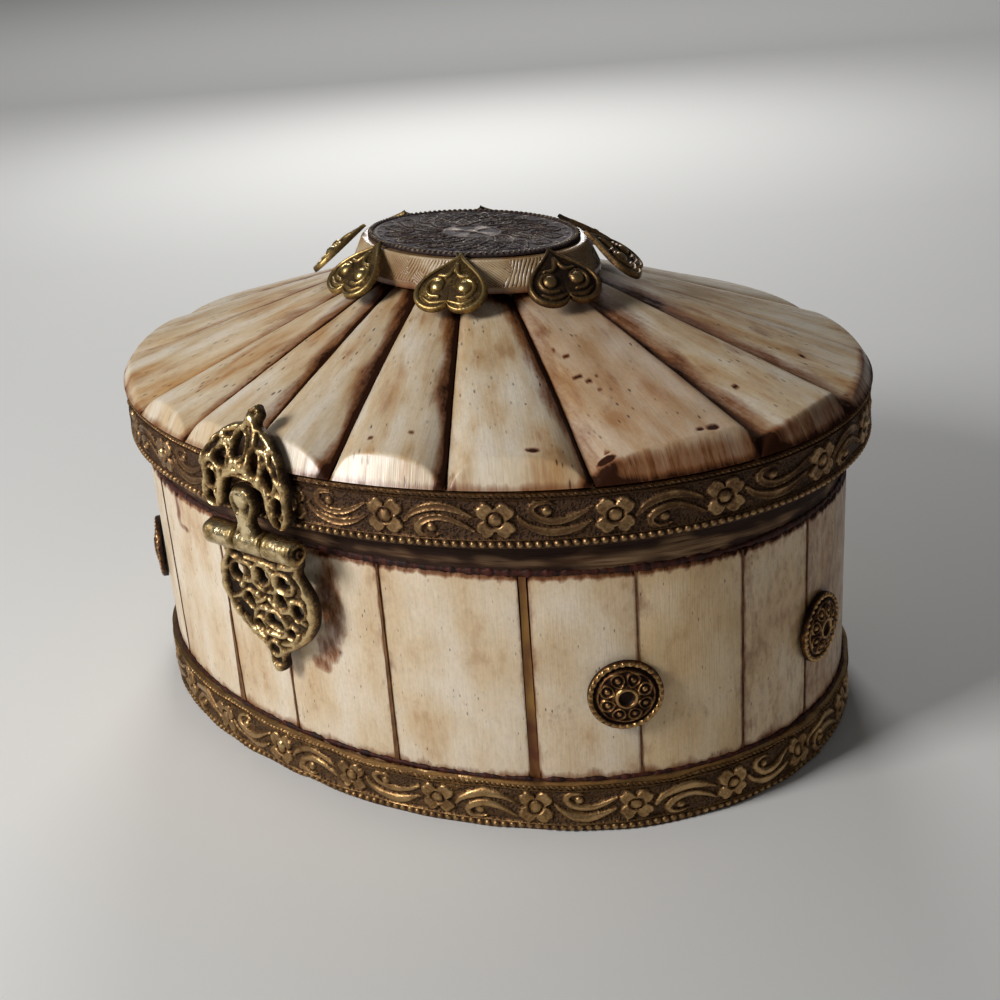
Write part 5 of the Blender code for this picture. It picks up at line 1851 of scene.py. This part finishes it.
@dataclass(frozen=True)
class Filigree:
    """A cast pierced plate: thick rounded strands round its openings, with coils and beads over them.

    Its outline and openings are shares of its half width and height. The strands swell from every
    edge, so that what is left between two openings reads as a rounded bar.
    """

    name: str
    half_width: float
    height: float
    foot: float
    outline: tuple
    holes: tuple
    strands: tuple
    beads: tuple
    back_line: tuple
    low: float = 0.95 * MM
    high: float = 2.05 * MM
    round_over: float = 1.05 * MM
    step: float = 0.23 * MM
    hole_share: float = 1.0
    turned: float = 0.0
    pivot: float = 52.0 * MM

    def loops(self) -> list[np.ndarray]:
        """The closed outlines in the front view: the plate's own, then one for each opening.

        Returns:
            Loops of points, evenly enough spaced to mesh.
        """
        half = np.array(self.outline) * (self.half_width, self.height) + (0, self.foot)
        corners = np.vstack([half, half[-2:0:-1] * (-1, 1)])
        line = smooth_path(np.vstack([corners, corners[:1]]), 12)
        travel = np.concatenate([[0], np.linalg.norm(np.diff(line, axis=0), axis=1).cumsum()])
        places = np.linspace(0, travel[-1], int(travel[-1] / self.step))[:-1]
        loops = [np.stack([np.interp(places, travel, side) for side in line.T], axis=-1)]
        for x, z, wide, high in self.holes:
            angles = full_turn(29)[:, 0]
            wobble = 1 + 0.16 * np.cos(2 * angles + 90 * x) + 0.12 * np.cos(3 * angles + 70 * z)
            hole = np.stack([wide * wobble * np.cos(angles), high * wobble * np.sin(angles)], axis=-1)
            loops.append((self.hole_share * hole + (x, z)) * (self.half_width, self.height) + (0, self.foot))
        return loops

    def inside(self, points: np.ndarray, loops: list[np.ndarray]) -> np.ndarray:
        """Whether points lie in the metal, by counting the edges that a ray to the right crosses.

        Args:
            points: rows of two.
            loops: the closed outlines.

        Returns:
            True for each point in the metal.
        """
        odd = np.zeros(len(points), int)
        for loop in loops:
            start, end = loop, np.roll(loop, -1, axis=0)
            px, py = points[:, :1], points[:, 1:]
            spans = (start[:, 1] > py) != (end[:, 1] > py)
            drop = np.where(end[:, 1] == start[:, 1], 1e-12, end[:, 1] - start[:, 1])
            meets = start[:, 0] + (py - start[:, 1]) * (end[:, 0] - start[:, 0]) / drop
            odd += (spans & (px < meets)).sum(axis=1)
        return odd % 2 == 1

    def edge_distance(self, points: np.ndarray, loops: list[np.ndarray]) -> np.ndarray:
        """Distance from points to the nearest edge.

        Args:
            points: rows of two.
            loops: the closed outlines.

        Returns:
            The distances.
        """
        nearest = np.full(len(points), np.inf)
        for loop in loops:
            run = np.roll(loop, -1, axis=0) - loop
            away = points[:, None] - loop
            share = np.clip((away * run).sum(-1) / (run * run).sum(-1), 0, 1)
            nearest = np.minimum(nearest, np.linalg.norm(away - share[..., None] * run, axis=-1).min(axis=1))
        return nearest

    def relief(self, points: np.ndarray, distance: np.ndarray) -> tuple[np.ndarray, np.ndarray]:
        """Thickness of the metal, and how proud each point stands.

        Args:
            points: rows of two, in the front view.
            distance: distance from each to the nearest edge.

        Returns:
            The thickness in metres and the share from 0 to 1.
        """
        x, z = np.abs(points[:, 0]) / MM, (points[:, 1] - self.foot) / MM
        bar = dome(np.clip(self.round_over - distance, 0, None), self.round_over)
        line = 0.78 * bell(distance, 0.62 * MM, 0.42 * MM)
        for path, width in self.strands:
            line = np.maximum(line, stroke(x, z, path, width, (0.7, 0.6)))
        ball = np.zeros(len(points))
        for bx, bz, radius in self.beads:
            ball = np.maximum(ball, dome(np.hypot(x - bx, z - bz), radius) * min(1.0, radius / 1.1))
        cast = 0.12 * wander(*points.T, 3.1 * MM, 301) + 0.05 * wander(*points.T, 1.1 * MM, 302)
        proud = np.clip(bar * (0.10 + 0.78 * np.maximum(line, ball)) + 0.20 * ball * bar + cast * bar, 0, 1)
        return self.low * (0.55 + 0.45 * bar) + (self.high - self.low) * proud, proud

    def build(self) -> bpy.types.Object:
        """Mesh the metal between the outlines, lift its face by the relief and bend it to its back line.

        Returns:
            The plate.
        """
        loops = self.loops()
        corners = np.vstack(loops)
        low, high = corners.min(axis=0), corners.max(axis=0)
        columns = np.arange(low[0], high[0], self.step)
        lines = np.arange(low[1], high[1], self.step * 0.87)
        grid = np.stack(np.meshgrid(columns, lines, indexing="ij"), axis=-1)
        grid[:, 1::2, 0] += self.step / 2
        grid = grid.reshape(-1, 2)
        grid = grid[self.inside(grid, loops)]
        grid = grid[self.edge_distance(grid, loops) > self.step * 0.45]
        starts = np.cumsum([0] + [len(loop) for loop in loops[:-1]])
        edges = []
        for first, loop in zip(starts, loops):
            edges += [(int(first + k), int(first + (k + 1) % len(loop))) for k in range(len(loop))]
        plan = [Vector(point) for point in (np.vstack([corners, grid]) / MM).tolist()]
        found, _, faces, *_ = delaunay_2d_cdt(plan, edges, [], 0, 1e-6)
        points = np.array([tuple(point) for point in found]) * MM
        faces = np.array([face for face in faces if len(face) == 3])
        faces = faces[self.inside(points[faces].mean(axis=1), loops)]
        thick, proud = self.relief(points, self.edge_distance(points, loops))
        used = np.unique(faces)
        renumber = np.full(len(points), -1)
        renumber[used] = np.arange(len(used))
        faces, points, thick, proud = renumber[faces], points[used], thick[used], proud[used]
        front, back = self.bend(points, thick), self.bend(points, np.zeros(len(points)))
        sides = np.concatenate([faces[:, [0, 1]], faces[:, [1, 2]], faces[:, [2, 0]]])
        _, first, count = np.unique(np.sort(sides, axis=1), axis=0, return_index=True, return_counts=True)
        rim = sides[first[count == 1]]
        total = len(points)
        walls = np.stack([rim[:, 1], rim[:, 0], rim[:, 0] + total, rim[:, 1] + total], axis=1)
        everything = faces.tolist() + (faces[:, ::-1] + total).tolist() + walls.tolist()
        values = {"proud": np.concatenate([proud, np.zeros(total)])}
        return solid(self.name, np.vstack([front, back]), everything, values)

    def bend(self, points: np.ndarray, lift: np.ndarray) -> np.ndarray:
        """Turn front-view points about the pivot, stand them on the plate's bent back and lift them off it.

        Args:
            points: rows of x and z.
            lift: distance off the back.

        Returns:
            Points in space.
        """
        cosine, sine = math.cos(self.turned), math.sin(self.turned)
        points = points - (0, self.pivot)
        points = points @ np.array([[cosine, -sine], [sine, cosine]]) + (0, self.pivot)
        heights, depths = np.array(self.back_line).T
        fine = np.linspace(heights[0], heights[-1], 400)
        depth = np.interp(fine, heights, depths)
        weights = np.exp(-(np.linspace(-2, 2, 25) ** 2))
        padded = np.pad(depth, 12, mode="reflect", reflect_type="odd")
        depth = np.convolve(padded, weights / weights.sum(), mode="valid")
        slope = np.interp(points[:, 1], fine, np.gradient(depth, fine))
        y = np.interp(points[:, 1], fine, depth)
        size = np.sqrt(1 + slope**2)
        return np.stack([points[:, 0], y - lift / size, points[:, 1] + lift * slope / size], axis=-1)


def round_ring(x: float, z: float, wide: float, high: float) -> list:
    """Corners of a closed oval line.

    Args:
        x: middle.
        z: middle.
        wide: half width.
        high: half height.

    Returns:
        The corners.
    """
    angles = np.linspace(0, math.tau, 11)
    return list(zip(x + wide * np.cos(angles), z + high * np.sin(angles)))


def barrel(
    name: str, start: float, end: float, place: tuple, radius: float, bore: float, seed: int
) -> bpy.types.Object:
    """A cast knuckle: a tube with eased ends, its face a little uneven.

    Args:
        name: its name.
        start: x of one end.
        end: x of the other.
        place: y and z of its axis.
        radius: outer radius.
        bore: inner radius.
        seed: which unevenness it has.

    Returns:
        The knuckle.
    """
    share = np.linspace(0, 1, 40)[None, :]
    turn = full_turn(64)
    along = start + (end - start) * share
    ends = np.minimum(share, 1 - share) * (end - start)
    swell = radius - 0.60 * MM * (1 - dome(np.clip(0.6 * MM - ends, 0, None), 0.6 * MM)) - 0.06 * MM
    swell = swell + 0.05 * MM * wander(along, turn * radius, 3.5 * MM, seed)
    outer = (np.minimum(swell, radius), along)
    inner = (np.full_like(share, bore), along[:, ::-1])
    rings = [stacked(x, r * np.cos(turn) + place[0], r * np.sin(turn) + place[1]) for r, x in (outer, inner)]
    proud = 0.62 + 0.3 * wander(along, turn * radius, 5 * MM, seed + 1)
    values = {"proud": np.concatenate([proud, np.zeros(proud.shape)], axis=1)}
    return Surface(name, np.concatenate(rings, axis=1), values, ring=True, tube=True).build()


def button(name: str, profile: tuple, place: tuple, out: tuple, proud: float) -> bpy.types.Object:
    """A small turned piece: a profile of radius and height spun round its own level axis.

    Args:
        name: its name.
        profile: radius and height of each corner in millimetres, from the middle of its top to its foot's.
        place: where its foot stands.
        out: where its axis points.
        proud: how bright its finish is.

    Returns:
        The piece.
    """
    radius, height = smooth_path(profile, 5).T * MM
    turn = full_turn(32)
    radius = np.maximum(radius, 0.002 * MM)
    carry = frame_at(np.array(place), np.cross(UP, out), np.array(UP), np.array(out, float))
    points = carry(radius * np.cos(turn), radius * np.sin(turn), height)
    return Surface(name, points, {"proud": np.full(points.shape[:2], proud)}, ring=True, tube=True).build()


@dataclass(frozen=True)
class Latch:
    """The front latch: a pierced plate on the lid, another on the case, and the tongue between them."""

    axis: tuple[float, float] = (-62.2 * MM, 52.0 * MM)
    barrel_radius: float = 2.4 * MM
    bore: float = 1.02 * MM
    middle: float = 3.15 * MM
    reach: float = 10.55 * MM
    turned: float = math.radians(4)
    hole_share: float = 0.84
    pin_profile: tuple = (
        (0, 1.0), (0.9, 0.85), (1.45, 0.45), (1.5, 0), (0.9, 0), (0.9, -10), (0.9, -21.1), (0, -21.3),
    )
    upper_outline: tuple = (
        (0.0, 1.10), (0.16, 1.04), (0.17, 0.96), (0.44, 0.90), (0.72, 0.76), (0.90, 0.62), (1.0, 0.46), (0.95, 0.30),
        (0.99, 0.14), (0.80, 0.0), (0.58, 0.03), (0.46, 0.14), (0.45, 0.27), (0.36, 0.38), (0.0, 0.42),
    )
    upper_holes: tuple = (
        (-0.14, 0.73, 0.11, 0.15), (-0.50, 0.58, 0.12, 0.08), (0.24, 0.62, 0.11, 0.10), (0.57, 0.52, 0.10, 0.12),
        (-0.73, 0.34, 0.10, 0.085), (0.75, 0.26, 0.09, 0.10), (-0.76, 0.12, 0.08, 0.07), (0.72, 0.08, 0.07, 0.05),
    )
    lower_outline: tuple = (
        (0.0, -0.135), (0.33, -0.135), (0.345, -0.02), (0.45, 0.0), (0.87, 0.0), (0.86, -0.08), (0.78, -0.17),
        (0.99, -0.32), (0.98, -0.50), (0.75, -0.67), (0.44, -0.79), (0.20, -0.87), (0.17, -0.97), (0.0, -1.03),
    )
    lower_holes: tuple = (
        (-0.50, -0.15, 0.13, 0.040), (-0.58, -0.31, 0.12, 0.065), (-0.04, -0.27, 0.11, 0.060),
        (0.40, -0.27, 0.13, 0.045), (0.30, -0.42, 0.10, 0.042), (0.62, -0.46, 0.10, 0.060),
        (-0.40, -0.50, 0.11, 0.045), (0.08, -0.61, 0.15, 0.055), (-0.26, -0.68, 0.09, 0.032),
        (0.40, -0.66, 0.08, 0.030),
    )

    def upper(self) -> Filigree:
        """The plate on the lid: a leaf-shaped loop under its knob, and coils down both sides.

        Returns:
            The plate.
        """
        strands = (
            (round_ring(0, 12.8, 1.95, 3.7), 0.85),
            (round_ring(4.0, 10.5, 2.1, 2.0), 0.72),
            (round_ring(7.35, 6.8, 1.95, 2.5), 0.72),
            ([(0.8, 8.6), (3.0, 7.9), (5.0, 5.6), (5.9, 3.0), (6.8, 0.6)], 0.80),
            ([(9.6, 4.6), (9.7, 2.6), (8.4, 0.7), (6.8, 1.4), (6.9, 3.4)], 0.75),
            ([(1.6, 16.6), (3.4, 14.9), (6.2, 13.6), (8.6, 11.6)], 0.70),
        )
        beads = (
            (0, 19.0, 1.7), (7.9, 12.4, 1.25), (10.0, 8.8, 1.3), (9.8, 4.6, 1.1),
            (5.6, 13.0, 0.9), (3.6, 7.6, 1.1), (0, 16.2, 0.9),
        )
        line = ((55.0 * MM, -62.2 * MM), (66.6 * MM, -62.2 * MM), (73.36 * MM, -59.19 * MM), (78.6 * MM, -53.96 * MM))
        sizes = (10.5 * MM, 16.8 * MM, 56.8 * MM)
        shape = (self.upper_outline, self.upper_holes, strands, beads, line)
        return Filigree("latch_filigree_upper", *sizes, *shape, hole_share=self.hole_share, turned=self.turned)

    def lower(self) -> Filigree:
        """The plate on the case: a pointed arch, a ringed boss and coils, down to its knob.

        Returns:
            The plate.
        """
        strands = (
            ([(0, -4.4), (2.0, -6.0), (2.6, -9.4), (0.4, -10.6)], 0.62),
            (round_ring(4.6, -7.6, 2.3, 2.0), 0.60),
            (round_ring(1.0, -17.0, 2.9, 2.6), 0.70),
            ([(0.4, -12.0), (3.0, -13.6), (5.6, -13.0), (8.8, -14.6)], 0.62),
            ([(2.0, -21.0), (4.6, -20.0), (6.6, -17.6)], 0.60),
            (round_ring(0, -22.6, 1.5, 1.5), 0.60),
            ([(8.0, -4.6), (9.6, -7.0), (10.4, -10.6), (10.2, -14.2), (8.0, -18.0), (5.0, -21.0), (2.2, -23.6)], 0.85),
            ([(2.2, -2.6), (4.6, -3.6), (7.6, -3.0), (9.0, -1.6)], 0.70),
        )
        beads = (
            (0, -8.7, 1.0), (0, -28.0, 2.1), (9.9, -8.2, 1.15), (10.4, -12.4, 1.1), (8.3, -17.4, 1.1),
            (5.4, -20.6, 1.0), (2.4, -12.0, 0.8), (9.2, -4.2, 1.2), (6.0, -11.0, 0.9),
        )
        top = self.axis[1]
        line = (
            (20.0 * MM, -57.1 * MM),
            (top - 6.0 * MM, -59.4 * MM),
            (top - 0.8 * MM, -60.6 * MM),
            (top + 1 * MM, -60.9 * MM),
        )
        sizes = (11.5 * MM, 27.2 * MM, top)
        shape = (self.lower_outline, self.lower_holes, strands, beads, line)
        return Filigree("latch_filigree_lower", *sizes, *shape, hole_share=self.hole_share, turned=self.turned)

    def tongue(self) -> Filigree:
        """The tongue's strap and round head.

        Returns:
            The strap.
        """
        outline = (
            (0.0, 0.0), (0.93, 0.0), (0.90, 0.22), (0.72, 0.34), (0.62, 0.46), (0.78, 0.58),
            (1.0, 0.72), (1.0, 0.88), (0.78, 1.02), (0.42, 1.09), (0.0, 1.105),
        )
        line = ((self.axis[1], -62.3 * MM), (66.0 * MM, -62.3 * MM))
        sizes = (2.9 * MM, 9.7 * MM, self.axis[1])
        beads = ((0, 8.4, 1.9),)
        strands = (([(0, 1.0), (0, 6.0)], 1.6),)
        heights = {"low": 1.3 * MM, "high": 2.1 * MM, "round_over": 0.8 * MM}
        return Filigree("latch_tongue_strap", *sizes, outline, (), strands, beads, line, **heights)

    def build(self, finishes: Finishes) -> None:
        """Build the plates, the knuckles, the tongue and the pin.

        Args:
            finishes: the built finishes by key.
        """
        for plate, body, finish, node in (
            (self.upper(), Body.LID, "cast", "latch_plate_upper"),
            (self.lower(), Body.CASE, "cast", "latch_plate_lower"),
            (self.tongue(), Body.TONGUE, "knuckle", "latch_tongue"),
        ):
            settle(plate.build(), body, Slot.CAST, finishes[finish], [node])
        inner = self.middle + FIT_GAP
        for side, start, end, body, seed in (
            ("left", -self.reach, -inner, Body.CASE, 5),
            ("right", inner, self.reach, Body.CASE, 9),
            ("middle", -self.middle, self.middle, Body.TONGUE, 13),
        ):
            tube = barrel(f"latch_knuckle_{side}", start, end, self.axis, self.barrel_radius, self.bore, seed)
            settle(tube, body, Slot.CAST, finishes["knuckle"])
        head = (-self.reach - FIT_GAP, *self.axis)
        pin = button("latch_pin_turned", self.pin_profile, head, (-1, 0, 0), 0.25)
        settle(pin, Body.CASE, Slot.HINGE, finishes["dark"], ["latch_pin"])


def band_nails(finishes: Finishes) -> None:
    """Set the small domed nails that hold each embossed strip.

    Args:
        finishes: the built finishes by key.
    """
    profile = ((0, 0.62), (0.55, 0.52), (0.92, 0.15), (0.95, -0.2), (0.5, -0.3), (0, -0.3))
    rows = (
        (Body.CASE, BASE_BAND, (-94.6, 78.0, 171.0), 5.9 * MM),
        (Body.LID, LID_BAND, (-112.0, 12.0, 152.0), 5.2 * MM),
    )
    for body, band, turns, height in rows:
        oval = band.inner.grown(band.thickness)
        for number, degrees in enumerate(turns, 1):
            turn = np.radians([degrees])
            place, out = oval.points(turn)[0], oval.normals(turn)[0]
            name = f"{body.value}_band_nail_{number}"
            nail = button(name, profile, (*place, band.foot + height), (*out, 0), 0.75)
            settle(nail, body, Slot.BAND, finishes["cast"])


@dataclass(frozen=True)
class Hinge:
    """The back hinge: plain leaves on a pin, each fixed with domed nails."""

    lower_face: float = 57.0 * MM
    upper_face: float = 65.1 * MM
    lower_nails: tuple = ((-9.2, 46.2), (9.2, 46.2), (-9.2, 40.0), (9.2, 40.0), (0, 40.0))
    upper_nails: tuple = ((-9.2, 61.6), (9.2, 61.6), (0, 62.0))
    nail_profile: tuple = ((0, 0.55), (0.6, 0.45), (1.0, 0.12), (1.05, -0.1), (0.6, -0.15), (0, -0.15))
    easing: float = 0.12 * MM

    def build(self, finishes: Finishes) -> None:
        """Ease the leaves' edges and set the nails.

        Args:
            finishes: the built finishes by key.
        """
        for name in ("hinge_leaf_lower", "hinge_leaf_upper", "hinge_pin"):
            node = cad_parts[name]
            easing = node.modifiers.new("easing", "BEVEL")
            easing.width = self.easing
            easing.segments = 2
            easing.limit_method = "ANGLE"
            node.data.materials.clear()
            node.data.materials.append(finishes["dark"])
        rows = ((Body.CASE, self.lower_face, self.lower_nails), (Body.LID, self.upper_face, self.upper_nails))
        for body, face, nails in rows:
            for number, (x, z) in enumerate(nails, 1):
                name = f"hinge_nail_{body.value}_{number}"
                nail = button(name, self.nail_profile, (x * MM, face, z * MM), (0, 1, 0), 0.7)
                settle(nail, body, Slot.HINGE, finishes["dark"])


# Studio


@dataclass(frozen=True)
class Studio:
    """The photograph's viewpoint, plain lamps and a pale floor."""

    target: tuple[float, float, float] = (0.0, 0.0, 34.4 * MM)
    distance: float = 308.85 * MM
    elevation: float = math.radians(23.9179)
    azimuth: float = math.radians(39.6148)
    roll: float = math.radians(-4.4086)
    focal_share: float = 1.5112189
    offset_share: tuple[float, float] = (-0.0153835, -0.0037102)
    sensor: float = 36.0
    lamps: tuple = (
        ("key", (-0.18, -0.50, 0.36), 0.18, 2.9),
        ("fill", (0.60, -0.40, 0.40), 0.50, 0.03),
        ("rim", (-0.42, 0.50, 0.38), 0.26, 2.0),
        ("backdrop", (-0.6, 0.8, 1.0), 1.2, 7.0, (-1.6, 2.0, 0.0)),
    )
    surround: str = "D9DADC"
    surround_strength: float = 0.115
    floor: str = "E6E5E2"
    floor_reach: float = 3.0

    def camera(self) -> None:
        """Place the camera: look at the target, then turn so that it lands off the middle of the view."""
        sine, cosine = math.sin, math.cos
        flat = cosine(self.elevation)
        ahead = np.array([-sine(self.azimuth) * flat, cosine(self.azimuth) * flat, -sine(self.elevation)])
        level = np.array([cosine(self.azimuth), sine(self.azimuth), 0.0])
        upright = np.cross(level, ahead)
        side = cosine(self.roll) * level + sine(self.roll) * upright
        top = cosine(self.roll) * upright - sine(self.roll) * level
        spot = np.array([*self.offset_share, self.focal_share])
        spot /= np.linalg.norm(spot)
        axis = np.cross([0.0, 0.0, 1.0], spot)
        turning = Matrix.Rotation(math.asin(np.linalg.norm(axis)), 3, Vector(axis))
        right, up, forward = np.array(turning) @ np.array([side, top, ahead])
        lens = bpy.data.cameras.new("camera")
        lens.sensor_width = self.sensor
        lens.lens = self.focal_share * self.sensor
        lens.clip_start = 0.01
        holder = placed("camera", lens)
        bpy.context.scene.camera = holder
        matrix = Matrix(np.column_stack([right, up, -forward])).to_4x4()
        matrix.translation = Vector(self.target) - Vector(ahead) * self.distance
        holder.matrix_world = matrix

    def lamp(self, name: str, place: tuple, size: float, power: float, aim: tuple | None = None) -> None:
        """Add a square soft lamp.

        Args:
            name: the lamp's name.
            place: where it stands.
            size: its side.
            power: its power in watts.
            aim: the point that it faces, if that isn't the object.
        """
        data = bpy.data.lights.new(name, "AREA")
        data.size = size
        data.energy = power
        holder = placed(name, data)
        facing = Vector(aim or self.target) - Vector(place)
        turning = facing.to_track_quat("-Z", "Y").to_matrix().to_4x4()
        holder.matrix_world = Matrix.Translation(place) @ turning

    def build(self) -> None:
        """Build the camera, the lamps, the world and the floor."""
        self.camera()
        for lamp in self.lamps:
            self.lamp(*lamp)
        world = bpy.data.worlds.new("studio")
        bpy.context.scene.world = world
        world.use_nodes = True
        backdrop = world.node_tree.nodes["Background"]
        backdrop.inputs[0].default_value = linear(self.surround)
        backdrop.inputs[1].default_value = self.surround_strength
        mesh = bpy.data.meshes.new("floor")
        corners = [(x * self.floor_reach, y * self.floor_reach, 0) for x, y in ((-1, -1), (1, -1), (1, 1), (-1, 1))]
        mesh.from_pydata(corners, [], [(0, 1, 2, 3)])
        floor = placed("floor", mesh)
        tree = Shader("pale_floor")
        mesh.materials.append(tree.finish({"Base Color": linear(self.floor), "Roughness": 0.9}))
        bpy.context.scene.view_settings.view_transform = "Standard"


def main() -> None:
    """Build the looks piece by piece, and log each one."""
    logging.basicConfig(level=logging.INFO, format="%(message)s")
    made = {key: spec.build() for key, spec in FINISHES.items()}
    for name, wood in (("core_wall", "wall_wood"), ("lid_shell", "board_wood"), ("base_board", "board_wood")):
        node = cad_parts[name]
        node.data.materials.clear()
        node.data.materials.append(made[wood])
    CaseWall().build(made)
    FlutedLid().build(made)
    BASE_BAND.build(made["rolled"], Body.CASE, Slot.BAND, "base_band")
    LID_BAND.build(made["dark"], Body.LID, Slot.DARK, "lid_band")
    Crown().build(made)
    Hearts().build(made)
    Medallions().build(made)
    Latch().build(made)
    Hinge().build(made)
    band_nails(made)
    Studio().build()
    LOG.info("studio")


if __name__ == "__main__":
    main()
